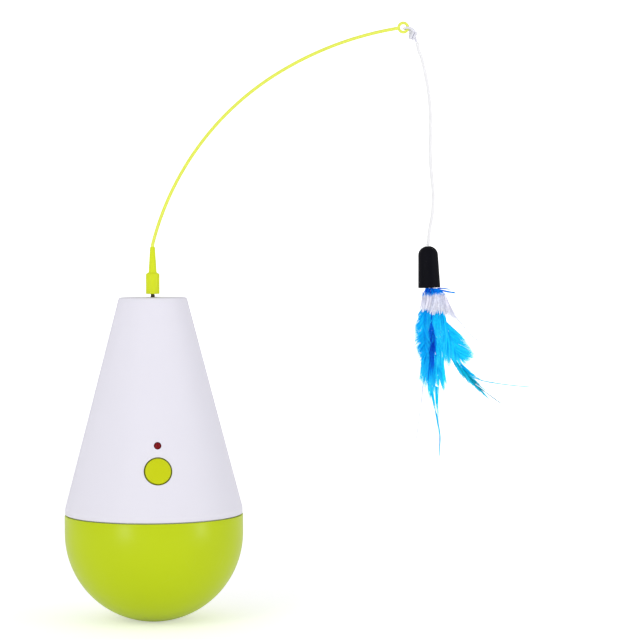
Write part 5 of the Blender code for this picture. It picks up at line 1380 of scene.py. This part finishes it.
# Each quill and its tufts, all in millimetres from the cap's mouth: across and up
FEATHERS = (
    FeatherShape(NAVY, "feather_navy", (
        (-0.9, 0.0), (1.8, -1.0), (8.1, -1.8), (13.5, -2.5)), (
        Tuft(((-2.5, -0.2), (3.1, -0.2)), ((-5.0, -5.2), (2.0, -4.9)), 110, 0.4, 0.05, 0.2, (0.1, 0.8)),
        Tuft(((0.0, -0.4), (4.3, -0.5)), ((1.3, -4.5), (8.4, -4.1)), 90, 0.36, 0.08, 0.25, (0.3, 1.0)),
        Tuft(((2.7, -0.3), (4.8, -0.7)), ((10.4, -2.2), (15.1, -3.2)), 110, 0.36, -0.08, 0.25, (0.4, 1.0)),
        Tuft(((3.6, -0.2), (4.8, -0.5)), ((8.5, -0.4), (13.0, -1.2)), 36, 0.3, 0.1, 0.35, (0.0, 0.6)))),
    FeatherShape(WHITE, "feather_white", (
        (0.4, 0.0), (3.6, -4.8), (9.0, -9.7), (16.2, -18.7), (24.3, -27.7), (39.1, -36.7)), (
        Tuft(((-4.1, -2.3), (4.9, -2.7)), ((-5.9, -12.9), (1.8, -15.3)), 260, 0.85, 0.1, 0.2, (0.3, 1.0)),
        Tuft(((2.7, -2.7), (8.1, -3.6)), ((0.9, -15.3), (11.9, -17.3)), 220, 0.75, -0.08, 0.25, (0.3, 1.0)),
        Tuft(((4.9, -3.0), (9.0, -5.2)), ((10.3, -17.3), (18.0, -24.1)), 90, 0.4, -0.1, 0.35, (0.3, 1.0)),
        Tuft(((7.2, -4.8), (9.4, -7.5)), ((17.1, -22.3), (25.2, -28.6)), 36, 0.14, -0.1, 0.4, (0.5, 1.0)),
        Tuft(((-3.6, -3.4), (-2.7, -9.7)), ((-5.8, -9.7), (-5.6, -14.2)), 26, 0.3, 0.1, 0.3, (0.3, 1.0)))),
    FeatherShape(BRIGHT, "feather_blue", (
        (-0.9, 0.0), (-2.9, -9.7), (-4.0, -18.7), (-3.6, -27.7), (-2.5, -36.7), (-2.9, -43.9)), (
        Tuft(((-2.7, -8.4), (-3.8, -16.9), (-3.8, -26.8), (-2.7, -35.8)),
             ((-7.0, -14.4), (-9.7, -24.3), (-9.0, -32.2), (-5.8, -42.2)), 460, 0.34, 0.1, 0.22, (0.35, 1.0)),
        Tuft(((-2.7, -8.8), (-3.8, -17.8), (-3.4, -27.7), (-2.5, -36.7)),
             ((-0.4, -17.8), (0.2, -27.7), (0.0, -36.7), (-1.6, -45.7)), 320, 0.32, -0.1, 0.3, (0.2, 0.8)),
        Tuft(((-3.4, -9.7), (0.0, -9.7)), ((-5.2, -16.9), (0.0, -17.8)), 80, 0.34, 0.05, 0.3, (0.3, 0.9)),
        Tuft(((-2.0, -33.1), (-0.9, -38.5)), ((-4.7, -45.7), (-3.4, -50.2)), 50, 0.28, 0.08, 0.3, (0.1, 0.7)))),
    FeatherShape(NAVY, "feather_navy", (
        (0.2, 0.0), (1.2, -12.4), (0.9, -24.1), (1.3, -32.2), (0.0, -41.2), (-1.3, -50.2)), (
        Tuft(((0.4, -18.7), (1.3, -25.0), (1.1, -33.1)),
             ((-2.5, -26.8), (-1.3, -35.8), (-2.9, -44.8)), 120, 0.32, 0.1, 0.3, (0.0, 0.75)),
        Tuft(((0.9, -18.7), (2.0, -25.9), (2.0, -34.0)),
             ((4.0, -26.8), (4.3, -35.8), (2.2, -45.7)), 120, 0.32, -0.1, 0.3, (0.0, 0.75)),
        Tuft(((-0.9, -31.3), (1.8, -36.7)), ((-3.4, -48.4), (0.0, -52.9)), 60, 0.28, 0.06, 0.3, (0.1, 0.8)))),
    FeatherShape(CYAN, "feather_cyan", (
        (0.9, 0.0), (5.8, -12.4), (9.0, -21.4), (12.6, -30.4), (16.2, -37.1), (18.0, -42.1)), (
        Tuft(((-3.8, -11.5), (2.7, -11.5), (8.3, -12.9)),
             ((-3.4, -27.7), (3.6, -29.5), (10.1, -29.5)), 380, 0.46, 0.03, 0.25, (0.2, 0.85)),
        Tuft(((2.0, -13.3), (3.2, -22.3), (3.2, -31.3)),
             ((-2.0, -22.7), (0.0, -32.2), (1.3, -40.3)), 90, 0.26, 0.12, 0.3, (0.4, 1.0)),
        Tuft(((3.6, -13.3), (4.5, -22.3), (4.1, -31.3)),
             ((8.6, -23.2), (8.1, -33.1), (6.5, -42.1)), 110, 0.28, -0.12, 0.3, (0.3, 1.0)),
        Tuft(((7.6, -16.9), (10.1, -24.1), (12.1, -29.5), (14.4, -34.0), (16.6, -37.6)),
             ((18.4, -26.6), (22.7, -31.5), (26.1, -36.9), (25.0, -39.2), (20.0, -42.8)),
             420, 0.32, -0.05, 0.16, (0.35, 1.0)),
        Tuft(((1.6, -13.8), (4.9, -14.2)), ((2.0, -32.6), (5.4, -33.5)), 130, 0.42, 0.02, 0.25, (0.3, 0.9)),
        Tuft(((6.5, -16.0), (8.8, -22.3), (12.1, -29.9), (15.7, -36.7)),
             ((5.6, -33.1), (8.6, -42.2), (13.5, -42.1), (17.5, -42.8)), 380, 0.34, 0.08, 0.22, (0.3, 1.0)),
        Tuft(((7.7, -16.5), (8.6, -18.0)), ((17.1, -25.9), (18.5, -27.3)), 26, 0.24, -0.04, 0.1, (0.0, 0.15)),
        Tuft(((8.6, -19.1), (10.1, -23.2)), ((13.5, -34.9), (16.6, -38.0)), 30, 0.24, -0.05, 0.2, (0.0, 0.15)),
        Tuft(((-2.7, -24.1), (10.1, -29.5)),
             ((-1.8, -45.7), (12.6, -43.5)), 330, 0.44, 0.05, 0.25, (0.2, 0.9)))),
    FeatherShape(CYAN, "feather_blue", (
        (0.4, 0.0), (0.4, -18.7), (0.7, -36.7), (1.3, -54.6), (3.6, -67.2), (5.6, -75.3),
        (6.5, -81.6), (6.3, -87.0), (5.9, -92.6)), (
        Tuft(((-3.6, -34.0), (0.0, -34.9)), ((-5.4, -51.2), (-4.1, -53.2)), 110, 0.34, 0.06, 0.16, (0.1, 0.8)),
        Tuft(((-2.7, -35.8), (0.9, -36.7)), ((-3.2, -55.1), (-2.0, -56.9)), 100, 0.3, 0.04, 0.16, (0.2, 0.9)),
        Tuft(((-1.8, -35.8), (2.7, -36.7)), ((-0.2, -60.2), (1.1, -62.3)), 150, 0.34, 0.03, 0.16, (0.15, 0.75)),
        Tuft(((0.0, -36.7), (3.6, -36.7)), ((2.0, -58.7), (3.4, -60.5)), 110, 0.32, 0.02, 0.18, (0.1, 0.6)),
        Tuft(((1.8, -36.7), (5.8, -37.6)), ((4.7, -56.0), (5.9, -57.8)), 110, 0.3, -0.02, 0.18, (0.2, 1.0)),
        Tuft(((3.6, -36.7), (7.6, -38.0)), ((7.9, -56.9), (9.2, -59.0)), 130, 0.3, -0.05, 0.16, (0.4, 1.0)),
        Tuft(((4.9, -38.5), (8.1, -39.4)), ((9.3, -52.9), (10.2, -54.8)), 90, 0.28, -0.06, 0.2, (0.4, 1.0)),
        Tuft(((0.0, -52.9), (2.0, -54.6)), ((3.6, -68.1), (4.7, -71.7)), 28, 0.3, 0.03, 0.3, (0.3, 0.9)),
        Tuft(((3.8, -53.8), (5.6, -54.6)), ((4.9, -72.6), (5.8, -77.1)), 28, 0.26, -0.03, 0.3, (0.3, 0.9)),
        Tuft(((3.2, -65.4), (5.0, -70.8)), ((5.9, -80.7), (6.8, -87.0)), 24, 0.26, 0.02, 0.3, (0.2, 0.8)),
        Tuft(((5.8, -76.2), (6.3, -80.7)), ((6.1, -88.8), (6.0, -93.3)), 12, 0.24, 0.02, 0.2, (0.0, 0.5)))),
    FeatherShape(TEAL, "feather_teal", (
        (0.9, 0.0), (6.7, -18.7), (12.6, -34.9), (16.6, -43.9), (22.5, -50.6), (31.5, -57.3),
        (40.9, -64.1)), (
        Tuft(((11.2, -35.8), (16.2, -41.2), (20.2, -46.1)),
             ((18.7, -49.7), (24.1, -54.6), (29.7, -58.2)), 260, 0.5, 0.04, 0.3, (0.6, 1.0)),
        Tuft(((16.6, -43.0), (20.7, -48.4), (25.2, -52.9)),
             ((25.2, -55.1), (31.5, -59.9), (36.5, -63.8)), 170, 0.36, 0.05, 0.3, (0.3, 1.0)),
        Tuft(((17.1, -43.0), (22.5, -49.3)), ((27.0, -51.2), (33.7, -57.9)), 110, 0.24, -0.04, 0.3, (0.2, 0.9)),
        Tuft(((19.8, -48.8), (21.8, -50.2)), ((29.7, -56.9), (33.7, -59.0)), 26, 0.2, 0.0, 0.2, (0.0, 0.2)),
        Tuft(((28.8, -55.1), (33.3, -58.7)), ((37.3, -61.7), (40.8, -64.0)), 12, 0.14, 0.0, 0.2, (0.0, 0.3)),
        Tuft(((12.1, -40.3), (13.5, -44.8)), ((17.5, -64.5), (18.5, -66.0)), 3, 0.12, -0.05, 0.1, (0.9, 1.0)))),
    FeatherShape(CYAN, "feather_cyan", (
        (0.9, 0.0), (7.6, -20.5), (16.2, -40.7), (22.5, -47.5), (27.0, -50.2), (33.3, -52.1),
        (40.4, -53.3), (49.4, -54.5), (58.9, -55.4)), (
        Tuft(((14.4, -36.7), (19.8, -44.8)), ((22.1, -45.7), (30.6, -51.4)), 170, 0.34, -0.05, 0.3, (0.4, 1.0)),
        Tuft(((20.7, -45.7), (25.2, -49.3)), ((27.9, -50.2), (35.1, -52.5)), 22, 0.18, -0.03, 0.3, (0.4, 1.0)),
        Tuft(((31.5, -51.6), (40.4, -53.2)), ((42.2, -53.4), (51.2, -54.8)), 12, 0.16, 0.0, 0.2, (0.2, 0.8)))),
    FeatherShape(WHITE, "feather_white", (
        (0.0, 0.0), (-0.7, -27.7), (-2.0, -54.6), (-3.4, -69.0), (-4.9, -81.6), (-7.0, -98.7)), (
        Tuft(((-2.5, -51.1), (-2.0, -56.4)), ((-3.8, -67.2), (-3.4, -74.4)), 8, 0.12, 0.02, 0.3, (0.0, 0.3)),
        Tuft(((-3.4, -67.2), (-4.0, -74.4)), ((-5.2, -81.6), (-5.9, -89.7)), 5, 0.1, 0.0, 0.3, (0.0, 0.3)))))


@dataclass
class Lure:
    """The black rubber cap and the feathers in its mouth.

    The cap's heights are measured from its top. The barbs' spreads are standard deviations, in metres
    for the tips and as shares for the rest, and bows and widths are ranges of shares.
    """

    hung_at: Vector
    cap_length: float = 0.0228
    cap_top_radius: float = 0.0054
    cap_radius: float = 0.00605
    cap_wall: float = 0.0012
    cap_dome: float = 0.0050
    cap_edge: float = 0.0005
    cap_hollow: float = 0.0110
    dimple_radius: float = 0.0014
    dimple_depth: float = 0.0012
    dimple_flat: float = 0.8
    dome_steps: int = 12
    cap_face: float = 0.0012
    lean: float = math.radians(-2)
    row_x: float = 0.0012
    layer: float = 0.0009
    spread: float = 0.0300
    quill: float = 0.00040
    quill_seat: float = 0.0065
    quill_end: float = 0.42
    quill_step: float = 0.0012
    quill_tone: float = 0.3
    quill_reach: float = 0.2
    barb_steps: int = 5
    barb_tip: float = 0.10
    barb_belly: float = 0.25
    clump: int = 7
    clump_spread: float = 0.8
    clump_close: float = 0.4
    short_spread: float = 0.4
    tip_spread: float = 0.00015
    root_depth: float = 0.4
    root_depth_spread: float = 0.2
    tip_depth_spread: float = 0.5
    bows: tuple[float, float] = (0.3, 1.7)
    widths: tuple[float, float] = (0.7, 1.2)
    tone_spread: float = 0.08
    fullness: float = 0.0011
    twist: float = 0.45

    def __post_init__(self) -> None:
        """Work out the cap's place and its mouth."""
        self.place = Matrix.Translation(self.hung_at) @ Matrix.Rotation(self.lean, 4, "Y")
        self.mouth = self.place @ Vector((0.0, 0.0, -self.cap_length))

    def build_cap(self) -> None:
        """Build and dress the cap with its dimple, rim and hollow."""
        start = math.acos(self.dimple_radius / self.cap_top_radius)
        angles = [start * (1 - step / self.dome_steps) for step in range(self.dome_steps + 1)]
        dome = [(self.cap_top_radius * math.cos(angle), self.cap_dome * (math.sin(angle) - 1))
                for angle in angles]
        socket = self.cap_radius - self.cap_wall
        ceiling = -self.cap_length + self.cap_hollow
        flat = self.dimple_radius * self.dimple_flat
        profile = [(0.0, -self.dimple_depth), (flat, -self.dimple_depth)] + dome
        low = filleted([(self.cap_top_radius, -self.cap_dome, 0.0),
                        (self.cap_radius, -self.cap_length, self.cap_edge),
                        (socket, -self.cap_length, self.cap_edge / 2), (socket, ceiling, 0.0),
                        (0.0, ceiling, 0.0)], 4)
        cap = placed(turned("cap", divided(profile + low[1:], self.cap_face), 72), self.place)
        smooth(cap)
        self.cap = dress(cap, Finish.RUBBER, "lure", "black_rubber", ["lure_cap"])

    def barb(self) -> bpy.types.Object:
        """One barb, modelled once: a narrow strip along +Y that tapers to its tip."""
        bpy.ops.object.select_all(action="DESELECT")
        bpy.ops.mesh.primitive_grid_add(x_subdivisions=1, y_subdivisions=self.barb_steps, size=1.0,
                                        location=(0, 0.5, 0))
        strip = named("barb")
        with Editing(strip) as edit:
            for row in range(self.barb_steps + 1):
                share = row / self.barb_steps
                edit.select("VERT", lambda place, at=share: abs(place.y - at) < 0.01)
                belly = 1 - self.barb_belly + self.barb_belly * math.sin(math.pi * share)
                width = max(self.barb_tip, (1 - share ** 2) * belly)
                bpy.ops.transform.resize(value=(width, 1, 1))
        return strip

    def depth(self, number: int, drop: float) -> float:
        """How far behind the cap's axis a feather lies at a height below the mouth."""
        layer = (number - (len(FEATHERS) - 1) / 2) * self.layer
        return layer * (1 + max(0.0, drop) / self.spread)

    def build_quill(self, number: int) -> bpy.types.Object:
        """Build a feather's quill, from its bore in the plug to its tip.

        Args:
            number: the feather's number, from 0.

        Returns:
            The quill.
        """
        row = self.row_x * (1 if number % 2 else -1)
        back = self.depth(number, 0.0)
        line = [self.place @ Vector((row, back, -self.cap_length + self.quill_seat)),
                self.mouth + Vector((row, back, 0.0))]
        for across, up in FEATHERS[number].quill[1:]:
            line.append(self.mouth + Vector((across / 1000, self.depth(number, -up / 1000), up / 1000)))
        line = smooth_line(line, self.quill_step)
        last = len(line) - 1
        radii = [1 - (1 - self.quill_end) * step / last for step in range(last + 1)]
        return tube(f"feather_piece_{number + 1}", line, self.quill, 6, radii)

    def grow(self, mesh: bmesh.types.BMesh, number: int, tuft: Tuft, strip: bpy.types.Object,
             chance: random.Random) -> None:
        """Copy the barb along a tuft, in clumps whose tips meet.

        Args:
            mesh: the feather's mesh, with its layers reach and tone.
            number: the feather's number, from 0.
            tuft: the barbs' roots, tips and look.
            strip: the barb that is copied.
            chance: the source of the unevenness.
        """
        reach, tint = (mesh.verts.layers.float[name] for name in ("reach", "tone"))
        clumps = max(1, tuft.count // self.clump)
        for count in range(tuft.count):
            if count % self.clump == 0:
                centre = ((count // self.clump) + chance.random()) / clumps
                short = tuft.ragged * chance.random()
                tone = chance.uniform(*tuft.tone)
                near = chance.gauss(0.0, self.fullness)
            share = centre + chance.gauss(0.0, self.clump_spread / clumps)
            start = point_along(tuft.roots, share)
            aim = point_along(tuft.tips, centre + (share - centre) * self.clump_close)
            end = start.lerp(aim, 1 - short - abs(chance.gauss(0.0, tuft.ragged * self.short_spread)))
            end += Vector((chance.gauss(0.0, self.tip_spread), 0.0, chance.gauss(0.0, self.tip_spread)))
            start.y, end.y = (self.depth(number, -spot.z) for spot in (start, end))
            start.y += near * self.root_depth + chance.gauss(0.0, self.fullness * self.root_depth_spread)
            end.y += near + chance.gauss(0.0, self.fullness * self.tip_depth_spread)
            side = (end - start).normalized().cross(Y_AXIS).normalized()
            bow = (end - start).length * tuft.bulge * chance.uniform(*self.bows)
            middle = (start + end) / 2 + side * bow
            twist = chance.gauss(0.0, self.twist)
            flat = (side * math.cos(twist) + Y_AXIS * math.sin(twist)) * tuft.width / 1000
            flat *= chance.uniform(*self.widths)
            shade = min(1.0, max(0.0, tone + chance.gauss(0.0, self.tone_spread)))
            made = []
            for corner in (vertex.co for vertex in strip.data.vertices):
                spot = start.lerp(middle, corner.y).lerp(middle.lerp(end, corner.y), corner.y)
                vertex = mesh.verts.new(self.mouth + spot + flat * corner.x)
                vertex[reach] = corner.y
                vertex[tint] = shade
                made.append(vertex)
            for face in strip.data.polygons:
                mesh.faces.new([made[index] for index in face.vertices])

    def build_feather(self, number: int, strip: bpy.types.Object) -> None:
        """Build and dress one feather: its quill and its tufts.

        Args:
            number: the feather's number, from 0.
            strip: the barb that is copied.
        """
        shape = FEATHERS[number]
        feather = self.build_quill(number)
        chance = random.Random(100 + number)
        mesh = bmesh.new()
        mesh.from_mesh(feather.data)
        for label, value in (("reach", self.quill_reach), ("tone", self.quill_tone)):
            layer = mesh.verts.layers.float.new(label)
            for vertex in mesh.verts:
                vertex[layer] = value
        for tuft in shape.tufts:
            self.grow(mesh, number, tuft, strip, chance)
        mesh.to_mesh(feather.data)
        mesh.free()
        only(feather)
        bpy.ops.object.shade_smooth()
        dress(feather, shape.plume, "lure", shape.slot, [f"feather_{number + 1}"])

    def build(self) -> None:
        """Build the cap and its feathers."""
        self.build_cap()
        strip = self.barb()
        for number in range(len(FEATHERS)):
            self.build_feather(number, strip)
        bpy.data.objects.remove(strip, do_unlink=True)


# The pieces inside, which keep their CAD shapes

@dataclass(frozen=True)
class Sleeved(Surface):
    """A battery cell: a printed sleeve with a band of another colour, between bare metal ends."""

    axis: str
    low: float
    high: float
    sleeve: Colour = (0.03, 0.09, 0.30)
    band: Colour = (0.62, 0.60, 0.58)
    band_start: float = 0.74
    band_blend: float = 0.005
    metal: Colour = (0.60, 0.60, 0.61)
    edge: float = 0.0012
    grain_depth: float = 0.000004

    def fill(self, made: MaterialMaker) -> None:
        """Feed the sleeve, its band and the bare ends."""
        body = made.group(Pattern.MOULDED, Color=self.sleeve, Tint=0.06, Roughness=0.28,
                          Gloss_Change=0.1, Grain_Size=0.0004)
        place = made.axis(self.axis)
        length = self.high - self.low
        band = made.ramp(place, self.low + length * self.band_start,
                         self.low + length * (self.band_start + self.band_blend))
        bare = made.calc("MAXIMUM", made.calc("LESS_THAN", place, self.low + self.edge),
                         made.calc("GREATER_THAN", place, self.high - self.edge))
        colour = made.mix(made.mix(body["Color"], self.band, band), self.metal, bare)
        made.feed(Base_Color=colour, Metallic=bare, Roughness=body["Roughness"],
                  Normal=made.bump(body["Height"], self.grain_depth))


@dataclass(frozen=True)
class Board(Surface):
    """Green circuit board: solder mask with faint tracks and tinned pads."""

    mask: Colour
    track: Colour
    pad: Colour
    track_depth: float = 0.00003

    def fill(self, made: MaterialMaker) -> None:
        """Feed the mask, the tracks between cells and the pads at their middles."""
        body = made.group(Pattern.MOULDED, Color=self.mask, Tint=0.15, Roughness=0.35,
                          Gloss_Change=0.1, Grain_Size=0.0002)
        masks = []
        for feature, low, high in (("DISTANCE_TO_EDGE", 0.06, 0.09), ("F1", 0.12, 0.15)):
            cells = made.node("TexVoronoi", {"feature": feature}, Vector=made.place, Scale=260.0,
                              Randomness=0.35)
            masks.append(made.ramp(cells.outputs["Distance"], low, high, 1.0, 0.0))
        tracks, pads = masks
        colour = made.mix(made.mix(body["Color"], self.track, tracks), self.pad, pads)
        made.feed(Base_Color=colour, Metallic=pads, Roughness=body["Roughness"],
                  Normal=made.bump(tracks, self.track_depth))


INNER_FINISHES = {
    "inner_plastic": Moulded("grey_moulded_plastic", (0.55, 0.55, 0.56), 0.5, grain_depth=0.00001),
    "gear_plastic": Moulded("natural_acetal", (0.85, 0.85, 0.80), 0.36, grain_depth=0.000006, wear=0.2),
    "black_plastic": Moulded("black_moulded_plastic", (0.02, 0.02, 0.02), 0.45, grain_depth=0.00001),
    "steel": Machined("plated_steel", (0.56, 0.56, 0.57), (0.34, 0.33, 0.31)),
    "brass": Machined("turned_brass", (0.76, 0.55, 0.24), (0.42, 0.27, 0.10)),
    "iron": Machined("cast_iron", (0.16, 0.16, 0.17), (0.15, 0.08, 0.05), 0.6, 0.55, 0.0006, 0.00008),
    "board_green": Board("solder_mask", (0.015, 0.16, 0.055), (0.03, 0.26, 0.09), (0.70, 0.69, 0.66)),
    "lead_red": Moulded("red_insulation", (0.55, 0.012, 0.010), 0.42, grain_depth=0.000006),
    "lead_black": Moulded("black_insulation", (0.018, 0.018, 0.020), 0.42, grain_depth=0.000006)}
SHAFT_FINISH = Machined("burnished_shaft", (0.070, 0.062, 0.040), (0.03, 0.025, 0.02), 0.3, 0.35)


class Works:
    """The works inside: CAD nodes that keep their shapes and get finishes."""

    @staticmethod
    def cell(node: str) -> Surface:
        """The finish of a battery cell, set out along its own length."""
        low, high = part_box(node)
        spans = [b - a for a, b in zip(low, high)]
        longest = spans.index(max(spans))
        return Sleeved(f"{node}_sleeve", "XYZ"[longest], low[longest], high[longest])

    def build(self, replaced: set[str]) -> None:
        """Give every shown CAD node its finish.

        Args:
            replaced: nodes that new pieces stand for.
        """
        for part in frame["record"]["subparts"]:
            node, slot = part["node"], part["material_slot"]
            if node in replaced:
                continue
            if slot == "cell_label":
                finish = self.cell(node)
            else:
                finish = SHAFT_FINISH if node == "drive_shaft" else INNER_FINISHES[slot]
            slots = bpy.data.objects[node].data.materials
            slots.clear()
            slots.append(finish.material())
            log.info("node %s keeps its shape, with %s", node, finish.name)


@dataclass(frozen=True)
class Lamp:
    """A soft square lamp: its place, the height on the Z axis that it faces, its side and its watts."""

    place: Point
    aim: float
    size: float
    power: float


LAMPS = {
    "key": Lamp((-1.0, -1.25, 1.1), 0.1, 0.9, 6.0),
    "fill": Lamp((1.3, -1.0, 0.7), 0.1, 0.9, 3.2),
    "left_card": Lamp((-0.66, -0.79, 0.05), 0.05, 0.24, 1.5),
    "right_card": Lamp((0.87, -0.54, 0.05), 0.05, 0.24, 1.2)}


@dataclass
class Studio:
    """Floor, world, lamps and the camera at the photograph's angle."""

    floor_half: float = 4.0
    wall_height: float = 2.5
    wall_bend: float = 1.2
    floor_colour: Colour = (0.86, 0.86, 0.87)
    camera_place: Point = (-0.06997, -1.30688, 0.20782)
    camera_turn: float = math.radians(-7.0)
    camera_pitch: float = math.radians(-2.03)
    camera_roll: float = math.radians(-0.2)
    lens: float = 136.7
    sensor: float = 36.0
    view_end: float = 20.0
    world_strength: float = 0.65
    near_glow: float = 0.40
    unseen_glow: float = 0.30
    far_glow: float = 0.85
    near: float = 0.2
    far: float = 1.6

    def floor_material(self) -> bpy.types.Material:
        """A pale sheet that glows more the farther it lies from the object.

        Returns:
            The material.
        """
        made = MaterialMaker("pale_floor")
        made.fixed(Base_Color=(*self.floor_colour, 1.0), Roughness=0.9, Specular_IOR_Level=0.1,
                   Emission_Color=WHITE_LIGHT)
        seen = made.ramp(made.node("LightPath").outputs["Is Camera Ray"], 0.0, 1.0, self.unseen_glow, 1.0)
        away = made.node("VectorMath", {"operation": "LENGTH"}, in_0=made.place).outputs["Value"]
        level = made.ramp(away, self.near, self.far, self.near_glow, self.far_glow)
        made.feed(Normal=made.bump(made.noise(made.place, 60.0, 3.0), 0.0002),
                  Emission_Strength=made.calc("MULTIPLY", seen, level))
        return made.material

    def floor(self) -> None:
        """Build the floor, with its far edge raised into a backdrop."""
        bpy.ops.object.select_all(action="DESELECT")
        bpy.ops.mesh.primitive_plane_add(size=2 * self.floor_half, location=(0, 0, 0))
        sheet = named("floor")
        back = self.floor_half - 0.01
        with Editing(sheet) as edit:
            edit.select("EDGE", lambda place: place.y > back)
            bpy.ops.mesh.extrude_region_move(
                TRANSFORM_OT_translate={"value": (0.0, 0.0, self.wall_height)})
            edit.select("EDGE", lambda place: place.y > back and place.z < 0.01)
            bpy.ops.mesh.bevel(offset=self.wall_bend, segments=12, affect="EDGES")
        smooth(sheet, math.radians(60))
        sheet.data.materials.append(self.floor_material())

    def world(self) -> None:
        """Light the world evenly and show it white."""
        world = bpy.data.worlds.new("studio")
        bpy.context.scene.world = world
        world.use_nodes = True
        world.node_tree.nodes.clear()
        made = NodeMaker(world.node_tree)
        paths = made.node("LightPath").outputs
        clear = made.calc("MAXIMUM", paths["Is Camera Ray"], paths["Is Transmission Ray"])
        light = made.node("Background", Color=(1.0, 1.0, 1.0),
                          Strength=made.ramp(clear, 0.0, 1.0, self.world_strength, 1.0))
        made.node("OutputWorld", Surface=light.outputs[0])

    def lamp(self, name: str, lamp: Lamp) -> None:
        """Hang up a lamp."""
        data = bpy.data.lights.new(name, "AREA")
        data.shape = "SQUARE"
        data.size = lamp.size
        data.energy = lamp.power
        hung = linked(name, data)
        hung.location = lamp.place
        way = Vector((0.0, 0.0, lamp.aim)) - Vector(lamp.place)
        hung.rotation_euler = way.to_track_quat("-Z", "Y").to_euler()

    def camera(self) -> None:
        """Set up the camera."""
        data = bpy.data.cameras.new("camera")
        data.lens = self.lens
        data.sensor_width = self.sensor
        data.clip_end = self.view_end
        camera = linked("camera", data)
        place = Matrix.Translation(self.camera_place)
        for angle, axis in ((self.camera_turn, "Z"), (math.pi / 2 + self.camera_pitch, "X"),
                            (self.camera_roll, "Z")):
            place = place @ Matrix.Rotation(angle, 4, axis)
        camera.matrix_world = place
        bpy.context.scene.camera = camera

    def build(self) -> None:
        """Build the whole studio."""
        bpy.context.scene.view_settings.view_transform = "Standard"
        self.floor()
        self.world()
        self.camera()
        for name, lamp in LAMPS.items():
            self.lamp(name, lamp)


def measured(line: Sequence[Vector]) -> float:
    """Length of a line."""
    return sum((b - a).length for a, b in zip(line, line[1:]))


def main() -> None:
    """Build every sub-assembly in order."""
    logging.basicConfig(level=logging.INFO, format="%(message)s")
    Studio().build()
    levels = Levels.from_frame()
    wand = Wand(levels)
    tether = Tether(wand.eye, wand.eye_radius)
    cord = tether.build()
    Base(levels).build()
    Casing(levels).build()
    wand.build()
    lure = Lure(tether.end)
    lure.build()
    tuple(tether.top)
    measured(tether.line)
    [tuple(point) for point in tether.line]
    replaced = {node for piece in bpy.data.objects for node in piece.get("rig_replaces", [])}
    Works().build(replaced)


if __name__ == "__main__":
    main()
